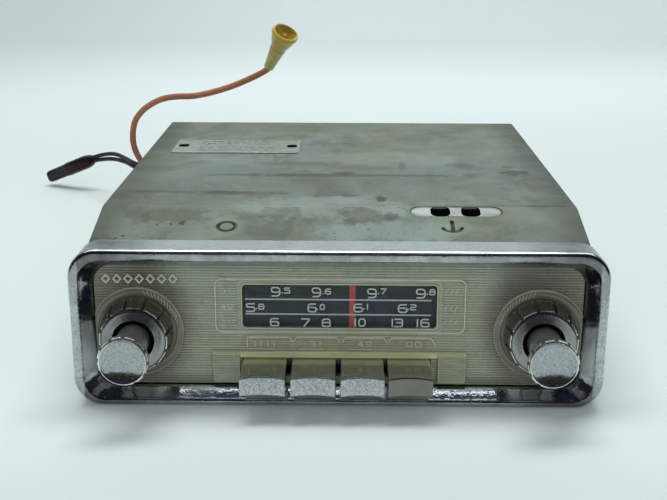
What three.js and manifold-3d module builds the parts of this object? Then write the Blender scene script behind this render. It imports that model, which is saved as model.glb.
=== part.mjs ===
// Vintage in-dash car radio with two concentric control spindles, four push keys and a
// cord-driven dial. Millimetres, +Z up, front of the radio facing -Y, left is -X.
// Working frame: x = 0 on the centre line, y = 0 on the back of the bezel (the dashboard plane),
// z = 0 on the flat underside. The exported group moves its origin to the underside's centre.
import * as THREE from "three";
import { mergeVertices } from "three/addons/utils/BufferGeometryUtils.js";
import Module from "manifold-3d";

// ---------------------------------------------------------------- driving dimensions
const GAP = 0.3; // working clearance between neighbouring parts
const BEZEL = { width: 189.2, height: 57.9, depth: 14, z0: 0.3, radius: 10, edge: 1.7 };
const RIM = { x: 91.1, z0: 3.7, z1: 54.5, r: 8 }; // inner edge of the front rim
const OPEN = { x: 86.9, z0: 6.2, z1: 51.8, r: 7 }; // opening behind the inner bevel
const REBATE = { x: 90.4, z0: 3.6, z1: 57.2, depth: 0.4 };

const CASE_HALF = 90, CASE_TOP = 64, CASE_REAR = 200;
const FOLD_Y = 28, NOSE_TOP = 56.84, NOSE_BOTTOM = 4.0; // the nose tapers forward of FOLD_Y
const NOSE_SLOPE = Math.atan2(CASE_TOP - NOSE_TOP, FOLD_Y);
const SHEET = 1.0, REAR_SHEET = 1.2;
const COVER_SCREW = { front: 57, rear: 148, z: 58, hole: 1.9 }; // front and rear are y
const LEAD_HOLE = { x: -70, z: 22, r: 6.0 };

const KNOB_X = 71.7, KNOB_Z = 26.7; // the two control spindles
const SHAFT_R = 3.0, SLEEVE_R = 4.6, SLEEVE_BORE = 3.4, BUSH_BORE = 5.0;
const RING_R = 11.9, RING_FACE = -18.4, INNER_R = 8.04, INNER_FACE = -38.05;

const FASCIA_FRONT = -8, FASCIA_BACK = -5.5, FASCIA_HALF = OPEN.x - GAP;
const BOSS_R = 16.6, BOSS_FRONT = -9.5, LEDGE_TOP = 19.4;
const WINDOW = { x0: -34.3, x1: 35.0, z0: 28.1, z1: 44.7 };
const WINDOW_FLANGE = {
  x0: WINDOW.x0 - 1.8, x1: WINDOW.x1 + 1.8, z0: WINDOW.z0 - 1.2, z1: WINDOW.z1 + 1.5,
};
const WINDOW_R = 1.5, FLANGE_FRONT = -6.5;

const KEYS = [[-34.0, -18.3], [-16.4, -0.9], [0.9, 16.1], [17.4, 32.7]]; // left and right x
const KEY_CENTRES = KEYS.map(([left, right]) => (left + right) / 2);
const KEY_Z0 = 10.2, KEY_Z1 = 17.0, KEY_Z = (KEY_Z0 + KEY_Z1) / 2;
const KEY_FRONT = -28, KEY_BACK = -5.8, KEY_DISH = 1.9;
const KEY_SLOT = { x0: -34.6, x1: 33.3, z0: 9.7, z1: 17.4 };
const PLUNGER = { halfWidth: 5, halfHeight: 1.7, front: -20 };

const POINTER_X = 4.9, POINTER_W = 2.2;
const RAIL = { y: 12, z: 51.0, r: 1.5 };
const CORD_Y = 20, CORD_R = 0.35, CAPSTAN_CORD_R = 3.2, PULLEY_CORD_R = 3.0;
const PULLEYS = { left: [-47, 52], upper: [52, 52], lower: [45, 46] }; // x, z

// ---------------------------------------------------------------- materials
const metal = (finish) => new THREE.MeshStandardMaterial({ ...finish, metalness: 1 });
const nonmetal = (finish) => new THREE.MeshStandardMaterial({ ...finish, metalness: 0 });
const MATERIAL = {
  chrome: metal({ color: 0xb9bcc0, roughness: 0.25 }),
  satin: metal({ color: 0xa7a9a6, roughness: 0.42 }),
  zinc: metal({ color: 0x8d928c, roughness: 0.5 }),
  plate: metal({ color: 0xb4b1a4, roughness: 0.45 }),
  steel: metal({ color: 0x8f9294, roughness: 0.4 }),
  brass: metal({ color: 0xb08a4a, roughness: 0.35 }),
  fascia: nonmetal({ color: 0x5b5c50, roughness: 0.35 }),
  glass: nonmetal({ color: 0x20242a, roughness: 0.08, transparent: true, opacity: 0.35 }),
  dial: nonmetal({ color: 0x0d1118, roughness: 0.5 }),
  black: nonmetal({ color: 0x17181a, roughness: 0.5 }),
  red: nonmetal({ color: 0xc4202a, roughness: 0.45 }),
  board: nonmetal({ color: 0x8a6a3a, roughness: 0.6 }),
  ferrite: nonmetal({ color: 0x2e2c2b, roughness: 0.7 }),
  lead: nonmetal({ color: 0x9a5a24, roughness: 0.6 }),
  nylon: nonmetal({ color: 0xd8c46a, roughness: 0.4 }),
  rubber: nonmetal({ color: 0x1b1a19, roughness: 0.8 }),
  cord: nonmetal({ color: 0xd9d2bd, roughness: 0.8 }),
};

// ---------------------------------------------------------------- solids and booleans
const wasm = await Module();
wasm.setup();

function solid(geometry) {
  const bare = geometry.clone();
  for (const name of Object.keys(bare.attributes)) {
    if (name !== "position") bare.deleteAttribute(name);
  }
  const merged = mergeVertices(bare, 1e-4);
  const vertProperties = merged.attributes.position.array;
  const build = (triVerts) =>
    new wasm.Manifold(new wasm.Mesh({ numProp: 3, vertProperties, triVerts }));
  const triangles = new Uint32Array(merged.index.array);
  const built = build(triangles);
  if (built.volume() >= 0) return built;
  // the faces point inwards, so turn every triangle over
  const flipped = triangles.slice();
  for (let i = 0; i < flipped.length; i += 3) {
    flipped[i + 1] = triangles[i + 2];
    flipped[i + 2] = triangles[i + 1];
  }
  return build(flipped);
}

function meshGeometry(points, indices) {
  const geometry = new THREE.BufferGeometry();
  geometry.setAttribute("position", new THREE.Float32BufferAttribute(points, 3));
  geometry.setIndex(indices);
  return geometry;
}

function toGeometry(manifold) {
  const mesh = manifold.getMesh();
  const geometry = meshGeometry(mesh.vertProperties, new THREE.BufferAttribute(mesh.triVerts, 1));
  geometry.computeVertexNormals();
  return geometry;
}

const asSolid = (shape) => (shape.isBufferGeometry ? solid(shape) : shape);
const union = (...shapes) => shapes.map(asSolid).reduce((a, b) => a.add(b));
const cut = (base, ...tools) => tools.map(asSolid).reduce((a, b) => a.subtract(b), asSolid(base));

// ---------------------------------------------------------------- shape helpers
const box = (x0, x1, y0, y1, z0, z1) =>
  new THREE.BoxGeometry(x1 - x0, y1 - y0, z1 - z0)
    .translate((x0 + x1) / 2, (y0 + y1) / 2, (z0 + z1) / 2);
const cylX = (y, z, x0, x1, radius, segments) =>
  new THREE.CylinderGeometry(radius, radius, x1 - x0, segments)
    .rotateZ(Math.PI / 2)
    .translate((x0 + x1) / 2, y, z);
const cylY = (x, z, y0, y1, radius, segments = 20) =>
  new THREE.CylinderGeometry(radius, radius, y1 - y0, segments).translate(x, (y0 + y1) / 2, z);
const cylZ = (x, y, z0, z1, radius, segments) =>
  new THREE.CylinderGeometry(radius, radius, z1 - z0, segments)
    .rotateX(Math.PI / 2)
    .translate(x, y, (z0 + z1) / 2);
// a profile of [radius, y] pairs turned about the Y axis
const latheY = (profile, segments) =>
  new THREE.LatheGeometry(profile.map(([r, y]) => new THREE.Vector2(r, y)), segments);
// a tube between two y stations, its profile closed on itself
const tubeY = (bore, radius, y0, y1, segments) =>
  latheY([[bore, y0], [radius, y0], [radius, y1], [bore, y1], [bore, y0]], segments);

const polygon = (points) => new THREE.Shape(points.map(([a, b]) => new THREE.Vector2(a, b)));
const extrude = (shape, depth, curveSegments = 6) =>
  new THREE.ExtrudeGeometry(shape, { depth, bevelEnabled: false, curveSegments });
// a shape in (y, z) made solid from x0 to x1
const AXES_YZX = new THREE.Matrix4().set(0, 0, 1, 0, 1, 0, 0, 0, 0, 1, 0, 0, 0, 0, 0, 1);
const prismX = (shape, x0, x1) =>
  extrude(shape, x1 - x0).applyMatrix4(AXES_YZX).translate(x0, 0, 0);
// a shape in (x, z) made solid from y0 to y1
const prismY = (shape, y0, y1, curveSegments) =>
  extrude(shape, y1 - y0, curveSegments).rotateX(Math.PI / 2).translate(0, y1, 0);
// a shape in (x, y) made solid from z0 to z1
const prismZ = (shape, z0, z1) => extrude(shape, z1 - z0).translate(0, 0, z0);

const grown = ({ x0, x1, z0, z1 }, margin) => ({
  x0: x0 - margin, x1: x1 + margin, z0: z0 - margin, z1: z1 + margin,
});

function rounded({ x0, x1, z0, z1 }, r) {
  const shape = new THREE.Shape();
  shape.moveTo(x0 + r, z0).lineTo(x1 - r, z0);
  shape.absarc(x1 - r, z0 + r, r, -Math.PI / 2, 0, false).lineTo(x1, z1 - r);
  shape.absarc(x1 - r, z1 - r, r, 0, Math.PI / 2, false).lineTo(x0 + r, z1);
  shape.absarc(x0 + r, z1 - r, r, Math.PI / 2, Math.PI, false).lineTo(x0, z0 + r);
  shape.absarc(x0 + r, z0 + r, r, Math.PI, 1.5 * Math.PI, false);
  return shape;
}

// faces of a closed skin over `count` rings of `size` points each, with fan-shaped ends
function skinIndices(count, size) {
  const indices = [];
  for (let k = 0; k + 1 < count; k++) {
    for (let i = 0; i < size; i++) {
      const a = k * size + i, b = k * size + ((i + 1) % size);
      indices.push(a, b, a + size, b, b + size, a + size);
    }
  }
  const last = (count - 1) * size;
  for (let i = 1; i + 1 < size; i++) {
    indices.push(0, i + 1, i);
    indices.push(last, last + i, last + i + 1);
  }
  return indices;
}

// a closed loft through rounded rectangles, 2x wide and centred on x = 0, at successive y
function loftY(rings) {
  const cornerSteps = 6;
  const points = [];
  for (const { y, x, z0, z1, r } of rings) {
    const corners = [ // centre x, centre z, start angle
      [x - r, z1 - r, 0], [-x + r, z1 - r, 90], [-x + r, z0 + r, 180], [x - r, z0 + r, 270],
    ];
    for (const [cx, cz, start] of corners) {
      for (let i = 0; i <= cornerSteps; i++) {
        const angle = THREE.MathUtils.degToRad(start + (90 * i) / cornerSteps);
        points.push(cx + r * Math.cos(angle), y, cz + r * Math.sin(angle));
      }
    }
  }
  return meshGeometry(points, skinIndices(rings.length, 4 * (cornerSteps + 1)));
}

// a round rod swept along points; the ends are flat
function rod(points, radius, sides, steps) {
  const nodes = points.map((point) => new THREE.Vector3(...point));
  const extrudePath = new THREE.CatmullRomCurve3(nodes, false, "catmullrom");
  const section = [];
  for (let i = 0; i < sides; i++) {
    const angle = (2 * Math.PI * i) / sides;
    section.push([radius * Math.cos(angle), radius * Math.sin(angle)]);
  }
  return new THREE.ExtrudeGeometry(polygon(section), { steps, extrudePath, bevelEnabled: false });
}

const radio = new THREE.Group();

function add(name, material, shape, position = [0, 0, 0], parent = radio) {
  const mesh = new THREE.Mesh(shape.isBufferGeometry ? shape : toGeometry(shape), material);
  mesh.name = name;
  mesh.position.set(...position);
  parent.add(mesh);
  return mesh;
}

// a group at `origin` whose +Y axis points along `direction`
function addAimedGroup(origin, direction) {
  const group = new THREE.Group();
  group.position.copy(origin);
  group.quaternion.setFromUnitVectors(new THREE.Vector3(0, 1, 0), direction.normalize());
  radio.add(group);
  return group;
}

// ---------------------------------------------------------------- bezel: a deep plated frame
function addBezel() {
  const { width, height, depth, z0, radius, edge } = BEZEL;
  const outerRing = (y, inset) => ({
    y, x: width / 2 - inset, z0: z0 + inset, z1: z0 + height - inset, r: radius - inset,
  });
  const outer = loftY([
    outerRing(-depth, edge),
    outerRing(-depth + 0.3 * edge, 0.3 * edge),
    outerRing(-depth + edge, 0),
    outerRing(0, 0),
  ]);
  const inner = loftY([
    { y: -depth - 1, x: RIM.x + 0.8, z0: RIM.z0 - 0.5, z1: RIM.z1 + 0.5, r: RIM.r },
    { y: -9, ...OPEN },
    { y: 1, ...OPEN },
  ]);
  // a shallow rebate behind the frame takes the nose of the casing,
  // so only the overhanging border meets the dashboard
  const rebate = box(-REBATE.x, REBATE.x, -REBATE.depth, 1, REBATE.z0, REBATE.z1);
  add("bezel", MATERIAL.chrome, cut(outer, inner, rebate));
}

// ---------------------------------------------------------------- fascia, dial glass and dial
function addFascia() {
  const raisedBack = FASCIA_FRONT + 0.5; // raised features sink 0.5 into the panel
  const bottom = OPEN.z0 + GAP;
  const outline = { x0: -FASCIA_HALF, x1: FASCIA_HALF, z0: bottom, z1: OPEN.z1 - GAP };
  const bosses = [-1, 1].map((side) =>
    cylY(side * KNOB_X, KNOB_Z, BOSS_FRONT, raisedBack, BOSS_R, 28));
  const blocks = [[-32.8, -17.7], [-15.2, -0.5], [2.4, 16.3], [18.8, 34.2]]; // above the ledge
  const panel = union(
    cut( // the bosses are trimmed flush with the sides of the panel
      union(...bosses),
      box(FASCIA_HALF, 100, -20, 0, 0, 60),
      box(-100, -FASCIA_HALF, -20, 0, 0, 60),
    ),
    prismY(rounded(outline, OPEN.r - GAP), FASCIA_FRONT, FASCIA_BACK, 5),
    box(-45.1, -35.1, -10, raisedBack, bottom, LEDGE_TOP),
    box(35.5, 45.9, -10, raisedBack, bottom, LEDGE_TOP),
    box(-35.2, 35.6, -9.8, raisedBack, KEY_SLOT.z1, LEDGE_TOP),
    ...blocks.map(([x0, x1]) => box(x0, x1, -9.4, raisedBack, LEDGE_TOP - 0.1, 24.9)),
  );
  const holeR = WINDOW_R + GAP;
  add("fascia_panel", MATERIAL.fascia, cut(
    panel,
    prismY(rounded(grown(WINDOW, GAP), holeR), -12, 0, 4),
    prismY(rounded(grown(WINDOW_FLANGE, GAP), holeR), FLANGE_FRONT - GAP, 0, 4),
    box(KEY_SLOT.x0, KEY_SLOT.x1, -14, 0, KEY_SLOT.z0, KEY_SLOT.z1),
    cylY(-KNOB_X, KNOB_Z, -14, 0, 6.2),
    cylY(KNOB_X, KNOB_Z, -14, 0, 6.2),
  ));
  add("dial_glass", MATERIAL.glass, union(
    prismY(rounded(WINDOW, WINDOW_R), -8.6, -6.0, 4),
    prismY(rounded(WINDOW_FLANGE, WINDOW_R), FLANGE_FRONT, -5.6, 4),
  ));
  add("dial_backplate", MATERIAL.dial, box(-40, 40.6, -4.0, -3.4, 26, 45.6));
}

// ------------------------------------------- front plate of the chassis, with the pulley pins
function addFrontPlate() {
  const halfX = PLUNGER.halfWidth + 0.6;
  add("front_plate", MATERIAL.steel, cut(
    union(
      box(-87.2, 87.2, 1.0, 2.2, 6.3, 55.2),
      ...Object.values(PULLEYS).map(([x, z]) => cylY(x, z, 1.6, CORD_Y + 2.4, 1.0, 10)),
    ),
    box(-34.5, 36.0, 0, 3, 46.5, 49.6), // the pointer arm travels in this slot
    ...KEY_CENTRES.map((x) => box(x - halfX, x + halfX, 0, 3, 11.2, 16.0)),
    cylY(-KNOB_X, KNOB_Z, 0, 3, 6.1),
    cylY(KNOB_X, KNOB_Z, 0, 3, 6.1),
  ));
  add("dial_lamp", MATERIAL.satin, union(
    cylX(-1.8, 36, -57.5, -52, 2.3, 10),
    cylX(-1.8, 36, -52.5, -47, 1.7, 10),
  ));
}

// ---------------------------------------------------------------- casing of plated sheet steel
const OVERRUN = 5; // how far the hollowing tools run past the front and rear of the casing
const screwHoles = () => [COVER_SCREW.front, COVER_SCREW.rear].map((y) =>
  cylX(y, COVER_SCREW.z, -120, 120, COVER_SCREW.hole, 12));

function addTopCover() {
  const rear = CASE_REAR - 0.4, inside = CASE_TOP - SHEET;
  const outer = polygon([
    [GAP, 38], [rear, 38], [rear, CASE_TOP], [FOLD_Y, CASE_TOP], [GAP, NOSE_TOP],
  ]);
  const noseInside = NOSE_TOP - SHEET / Math.cos(NOSE_SLOPE)
    - (OVERRUN + GAP) * Math.tan(NOSE_SLOPE);
  const inner = polygon([
    [-OVERRUN, 30], [CASE_REAR + OVERRUN, 30], [CASE_REAR + OVERRUN, inside],
    [FOLD_Y, inside], [-OVERRUN, noseInside],
  ]);
  // round-ended trimmer slot through the top
  const r = 3.95, y = 23.95, x0 = 26.4 + r, x1 = 61.2 - r;
  const slot = new THREE.Shape();
  slot.moveTo(x0, y - r).lineTo(x1, y - r).absarc(x1, y, r, -Math.PI / 2, Math.PI / 2, false);
  slot.lineTo(x0, y + r).absarc(x0, y, r, Math.PI / 2, 1.5 * Math.PI, false);
  add("top_cover", MATERIAL.zinc, cut(
    prismX(outer, -CASE_HALF, CASE_HALF),
    prismX(inner, -CASE_HALF + SHEET, CASE_HALF - SHEET),
    prismZ(slot, 50, 70),
    ...screwHoles(),
  ));
}

function addChassisTray() {
  const half = CASE_HALF - SHEET - GAP, wallTop = 62.6;
  const outer = polygon([
    [GAP, NOSE_BOTTOM], [FOLD_Y, 0], [CASE_REAR, 0],
    [CASE_REAR, wallTop], [FOLD_Y, wallTop], [GAP, 55.4],
  ]);
  const noseSkin = 1.01; // sheet measured upright through the sloping floor
  const inner = polygon([
    [-OVERRUN, NOSE_BOTTOM + noseSkin + OVERRUN * (NOSE_BOTTOM / FOLD_Y)],
    [FOLD_Y, SHEET], [CASE_REAR + OVERRUN, SHEET], [CASE_REAR + OVERRUN, 80], [-OVERRUN, 80],
  ]);
  add("chassis_tray", MATERIAL.zinc, cut(
    prismX(outer, -half, half),
    prismX(inner, -half + SHEET, half - SHEET),
    ...screwHoles(),
    ...[-56, -40, -24, 24, 40, 56].map((x) => box(x - 2, x + 2, 150, 178, -1, 2)),
  ));
}

function addRearPlate() {
  const half = 87.3, top = 62.5, slotPitch = 3.4, slotHeight = 1.4;
  const slots = [0, 1, 2, 3, 4].map((i) => {
    const z = 46 - slotPitch * i;
    return box(-34, 14, 195, 205, z, z + slotHeight);
  });
  add("rear_plate", MATERIAL.zinc, cut(
    union(
      box(-half, half, CASE_REAR - REAR_SHEET, CASE_REAR, 1.4, top),
      box(-half, half, CASE_REAR - 10, CASE_REAR, top - REAR_SHEET, top),
    ),
    cylY(LEAD_HOLE.x, LEAD_HOLE.z, 195, 205, LEAD_HOLE.r, 16),
    ...slots,
  ));
}

// slotted screws, built pointing out along +X and turned round for the left side
function addCoverScrews() {
  for (const [side, sign] of [["left", -1], ["right", 1]]) {
    for (const where of ["front", "rear"]) {
      const blank = union(cylX(0, 0, 0, 2.2, 3.5, 12), cylX(0, 0, -3.8, 0.5, 1.45, 10));
      const screw = add(
        `cover_screw_${side}_${where}`,
        MATERIAL.steel,
        cut(blank, box(1.5, 3, -0.5, 0.5, -4, 4)),
        [sign * (CASE_HALF + 0.05), COVER_SCREW[where], COVER_SCREW.z],
      );
      if (sign < 0) screw.rotation.z = Math.PI;
    }
  }
}

function addNameplate() {
  add("nameplate", MATERIAL.plate, cut(
    box(-78.1, -19.5, 121, 151.8, CASE_TOP + 0.05, CASE_TOP + 0.55),
    cylZ(-74.2, 137.2, 60, 70, 1.5, 12),
    cylZ(-23.2, 136.8, 60, 70, 1.5, 12),
  ));
}

// bare metal strip under the trimmer slot, parallel to the sloping nose
function addTrimmerStrip() {
  const y = 24.5;
  const tilt = new THREE.Group();
  tilt.position.set(43.8, y, NOSE_TOP + y * Math.tan(NOSE_SLOPE));
  tilt.rotation.x = NOSE_SLOPE;
  radio.add(tilt);
  add("trimmer_strip", MATERIAL.satin, cut(
    box(-22, 22, -6.2, 4.0, -2.05, -1.25),
    box(-9.3, -2.4, -3.4, 3.4, -4, 0),
    box(2.1, 8.9, -3.4, 3.4, -4, 0),
  ), [0, 0, 0], tilt);
}

// ---------------------------------------------------------------- concentric controls
const innerKnob = () => cut(
  latheY([
    [0, INNER_FACE + 0.4], [INNER_R - 0.5, INNER_FACE + 0.4], [INNER_R - 0.4, INNER_FACE],
    [INNER_R, INNER_FACE + 0.3], [8.6, INNER_FACE + 1.2], [8.6, -33.6],
    [6.2, -31.8], [5.9, -17.3], [0, -17.3],
  ], 28),
  cylY(0, 0, -33, -10, SHAFT_R + GAP, 14),
);
const ringKnob = () => latheY([
  [4.9, -16.9], [7.5, -16.9], [7.8, RING_FACE], [11.3, RING_FACE], [RING_R, -17.8],
  [RING_R, -13.2], [13.4, -10.6], [13.4, -9.9], [4.9, -9.9], [4.9, -16.9],
], 28);
const bushing = () => cut(
  union(
    cylY(0, 0, -5.0, 4.4, 5.8, 18),
    cylY(0, 0, -1.7, 0.7, 8.1, 6), // hexagonal nut
  ),
  cylY(0, 0, -8, 8, BUSH_BORE, 18),
);
const pot = (rear, lugFront, lugRear) => cut(
  union(cylY(0, 0, 4.9, rear, 11), box(-7, 7, lugFront, lugRear, -18, -4)),
  cylY(0, 0, 0, 30, BUSH_BORE, 16),
);

// grooved for the cord, then cut with a coarse thread for the core carriage
function tuningShaft() {
  const profile = [
    [0, -32.6], [SHAFT_R, -32.6], [SHAFT_R, 17.6], [4.4, 17.8], [4.4, 18.6], [2.5, 19.2],
    [2.5, 20.8], [4.4, 21.4], [4.4, 22.2], [SHAFT_R, 22.4], [SHAFT_R, 30],
  ];
  for (let y = 31; y < 57; y += 4) {
    profile.push([3.6, y], [3.6, y + 1.8], [2.9, y + 2.2], [2.9, y + 3.8]);
  }
  profile.push([SHAFT_R, 60.4], [0, 60.4]);
  return latheY(profile, 12);
}

function addControls() {
  const controls = [
    {
      side: "left", x: -KNOB_X, inner: "volume", ring: "tone", sleeveRear: 13,
      shaft: cylY(0, 0, -32.6, 27, SHAFT_R, 14),
      potName: "volume_tone_pot", potShape: pot(25, 8, 22),
    },
    {
      side: "right", x: KNOB_X, inner: "tuning", ring: "fader", sleeveRear: 12,
      shaft: tuningShaft(),
      potName: "fader_pot", potShape: pot(15.6, 6, 14),
    },
  ];
  for (const { side, x, inner, ring, sleeveRear, shaft, potName, potShape } of controls) {
    const place = [x, 0, KNOB_Z];
    const sleeve = tubeY(SLEEVE_BORE, SLEEVE_R, -16.4, sleeveRear, 18);
    add(`${inner}_knob`, MATERIAL.satin, innerKnob(), place);
    add(`${inner}_shaft`, MATERIAL.steel, shaft, place);
    add(`${ring}_ring_knob`, MATERIAL.satin, ringKnob(), place);
    add(`${ring}_sleeve`, MATERIAL.brass, sleeve, place);
    add(`${side}_bushing_nut`, MATERIAL.brass, bushing(), place);
    add(potName, MATERIAL.steel, potShape, place);
  }
}

// ---------------------------------------------------------------- push keys
function keyCap(halfWidth) {
  const halfHeight = (KEY_Z1 - KEY_Z0) / 2, faceSteps = 8;
  const plan = [[halfWidth, KEY_BACK], [-halfWidth, KEY_BACK]];
  for (let k = 0; k <= faceSteps; k++) {
    // the face is hollowed from side to side to take a fingertip
    const across = (2 * k) / faceSteps - 1;
    plan.push([halfWidth * across, KEY_FRONT + KEY_DISH * (1 - across * across)]);
  }
  const pocketX = PLUNGER.halfWidth + GAP, pocketZ = PLUNGER.halfHeight + GAP;
  return cut(
    prismZ(polygon(plan), -halfHeight, halfHeight),
    box(-pocketX, pocketX, PLUNGER.front - GAP, 0, -pocketZ, pocketZ),
  );
}

function keyPlunger() {
  const { halfWidth, halfHeight, front } = PLUNGER;
  return union(
    box(-halfWidth, halfWidth, front, 28, -halfHeight, halfHeight),
    box(-2, 2, 6.5, 17.5, 0, 4.6),
    cylY(0, 0, 27, 52, 1.6, 10),
  );
}

function keySpring() {
  const turns = 5, steps = turns * 7, radius = 3.0, front = 28.9, rear = 43.2;
  const points = [];
  for (let k = 0; k <= steps; k++) {
    const angle = (2 * Math.PI * turns * k) / steps;
    const y = front + (rear - front) * (k / steps);
    points.push([radius * Math.cos(angle), y, radius * Math.sin(angle)]);
  }
  return rod(points, 0.42, 4, steps);
}

function addKeys() {
  KEYS.forEach(([left, right], i) => {
    const place = [KEY_CENTRES[i], 0, KEY_Z];
    add(`key_cap_${i + 1}`, MATERIAL.chrome, keyCap((right - left) / 2), place);
    add(`key_plunger_${i + 1}`, MATERIAL.steel, keyPlunger(), place);
    add(`key_spring_${i + 1}`, MATERIAL.steel, keySpring(), place);
  });
  add("latch_bar", MATERIAL.steel, cut(
    box(-44, 44, 12, 13.4, 16.0, 24),
    ...KEY_CENTRES.map((x) => box(x - 4.4, x + 2.4, 11, 15, 15, 18.9)),
  ));
  add("switch_guide", MATERIAL.steel, cut(
    union(box(-46, 46, 44, 45.4, 1.4, 21), box(-46, 46, 44, 54, 1.4, 2.6)),
    ...KEY_CENTRES.map((x) => cylY(x, KEY_Z, 40, 50, 2.1, 12)),
  ));
  add("band_switch", MATERIAL.board, union(
    box(-40, 38, 58.5, 70, 4, 19),
    ...KEY_CENTRES.map((x) => box(x - 4, x + 4, 60, 69, 18, 23)),
  ));
}

// ---------------------------------------------------------------- dial drive
function addPointer() {
  const half = POINTER_W / 2;
  add("pointer", MATERIAL.red, union(
    box(-half, half, -5.0, -4.4, 27.5, 48.8),
    box(-half, half, -5.0, 7.7, 47.6, 48.8),
  ), [POINTER_X, 0, 0]);
  add("pointer_carriage", MATERIAL.brass, cut(
    union(box(-5.3, 5.3, 8.0, 16.2, 46.9, 53.6), box(-2.2, 2.2, 15, 21.4, 52.4, 54.0)),
    cylX(RAIL.y, RAIL.z, -8, 8, RAIL.r + GAP, 12),
  ), [POINTER_X, 0, 0]);
  add("pointer_rail", MATERIAL.steel, union(
    cylX(RAIL.y, RAIL.z, -43, 44, RAIL.r, 12),
    box(-44.2, -42.6, 2.5, 14, 49, 53),
    box(43.6, 45.2, 2.5, 14, 49, 53),
  ));
}

function addPulleys() {
  const profile = [
    [1.3, -1.5], [3.9, -1.5], [3.9, -1.0], [2.5, -0.5], [2.5, 0.5],
    [3.9, 1.0], [3.9, 1.5], [1.3, 1.5], [1.3, -1.5],
  ];
  for (const [name, [x, z]] of Object.entries(PULLEYS)) {
    add(`cord_pulley_${name}`, MATERIAL.black, latheY(profile, 16), [x, CORD_Y, z]);
  }
}

// clip - upper pulley - under the capstan - lower pulley - left pulley - clip, at y = CORD_Y
function cordLine() {
  const arc = ([cx, cz], radius, start, end, steps) => {
    const points = [];
    for (let i = 0; i <= steps; i++) {
      const angle = THREE.MathUtils.degToRad(start + ((end - start) * i) / steps);
      const x = cx + radius * Math.cos(angle), z = cz + radius * Math.sin(angle);
      points.push(new THREE.Vector3(x, CORD_Y, z));
    }
    return points;
  };
  // the outer side of a run from a pulley to the capstan, in degrees
  const outerSide = ([x, z]) =>
    THREE.MathUtils.radToDeg(Math.atan2(KNOB_Z - z, KNOB_X - x)) + 90;
  const { left, upper, lower } = PULLEYS;
  const upperSide = outerSide(upper), radius = PULLEY_CORD_R;
  return [
    new THREE.Vector3(5.2, CORD_Y, left[1] + radius),
    ...arc(upper, radius, 90, upperSide, 3),
    ...arc([KNOB_X, KNOB_Z], CAPSTAN_CORD_R, upperSide, upperSide - 180 - 14, 8),
    ...arc(lower, radius, outerSide(lower), 90, 2),
    ...arc(left, radius, 270, 90, 8),
    new THREE.Vector3(3.6, CORD_Y, left[1] + radius),
  ];
}

// a square section swept point to point, square to the mean direction at each point
function addCord() {
  const section = [[CORD_R, 0], [0, CORD_R], [-CORD_R, 0], [0, -CORD_R]]; // across, along y
  const line = cordLine();
  const points = [];
  line.forEach((point, i) => {
    const before = line[Math.max(0, i - 1)], after = line[Math.min(line.length - 1, i + 1)];
    const arriving = point.clone().sub(before).normalize();
    const leaving = after.clone().sub(point).normalize();
    const tangent = arriving.add(leaving).normalize();
    const normal = new THREE.Vector3(0, 1, 0).cross(tangent).normalize();
    for (const [across, along] of section) {
      points.push(point.x + normal.x * across, point.y + along, point.z + normal.z * across);
    }
  });
  const geometry = meshGeometry(points, skinIndices(line.length, section.length));
  add("dial_cord", MATERIAL.cord, solid(geometry));
}

// ---------------------------- permeability tuner: coil block and core carriage on the lead screw
function addTuner() {
  const place = [KNOB_X, 0, KNOB_Z];
  const corners = [[-8, -8], [8, -8], [-8, 8], [8, 8]]; // x, z of the coils and their cores
  const rods = (y0, y1, radius, segments) =>
    corners.map(([x, z]) => cylY(x, z, y0, y1, radius, segments));
  add("coil_block", MATERIAL.board, cut(
    union(
      box(-13.5, 13.5, 63, 66, -15, 15),
      box(-13.5, 13.5, 95, 98, -15, 15),
      ...rods(64, 97, 4.4, 14),
      box(-13.5, 13.5, 63, 98, -15, -12.5),
    ),
    ...rods(60, 100, 2.7, 12),
  ), place);
  add("core_carriage", MATERIAL.ferrite, cut(
    union(box(-11.5, 11.5, 50, 54, -12, 12), ...rods(53, 84, 2.0, 10)),
    cylY(0, 0, 45, 60, 4.0, 14),
  ), place);
}

// ---------------------------------------------------------------- electronics
const BOARD_POSTS = [[-80, 80], [80, 106], [-80, 184], [80, 184]]; // x, y
const COIL_CANS = { y: 84, half: 5.5, x: [-64, -44, -24, -4, 16, 40] };
const ELECTROLYTICS = [ // x, y, radius, height
  [-70, 108, 4, 18], [-54, 112, 3.2, 14], [-30, 106, 3.2, 14], [-8, 112, 4, 20],
  [16, 108, 3.2, 14], [38, 112, 4, 18], [62, 120, 5, 22], [62, 142, 5, 22],
  [30, 138, 3.2, 14], [-20, 140, 3.2, 14],
];
const RESISTORS = [ // x, y
  [-60, 128], [-44, 130], [-4, 132], [12, 130], [44, 130], [-64, 142], [-44, 146],
];

function addElectronics() {
  const seat = 7; // components start just inside the board
  const { y: canY, half } = COIL_CANS;
  add("circuit_board", MATERIAL.board, union(
    box(-84, 84, 100, 188, 6, 7.6),
    box(-84, 50, 74, 101, 6, 7.6),
    ...BOARD_POSTS.map(([x, y]) => cylZ(x, y, 1.3, 6.5, 2.2, 8)),
    ...COIL_CANS.x.map((x) => box(x - half, x + half, canY - half, canY + half, seat, 24)),
    ...ELECTROLYTICS.map(([x, y, r, height]) => cylZ(x, y, seat, seat + height, r, 12)),
    ...RESISTORS.map(([x, y]) => box(x - 5, x + 5, y - 1.4, y + 1.4, seat, 11)),
  ));
  add("output_transformer", MATERIAL.steel, union(
    box(-28, 6, 160, 184, 8, 34),
    box(-22, 0, 155, 189, 13, 29),
  ));
  add("filter_capacitor", MATERIAL.satin, cylX(174, 18, -78, -38, 9, 18));
}

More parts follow.
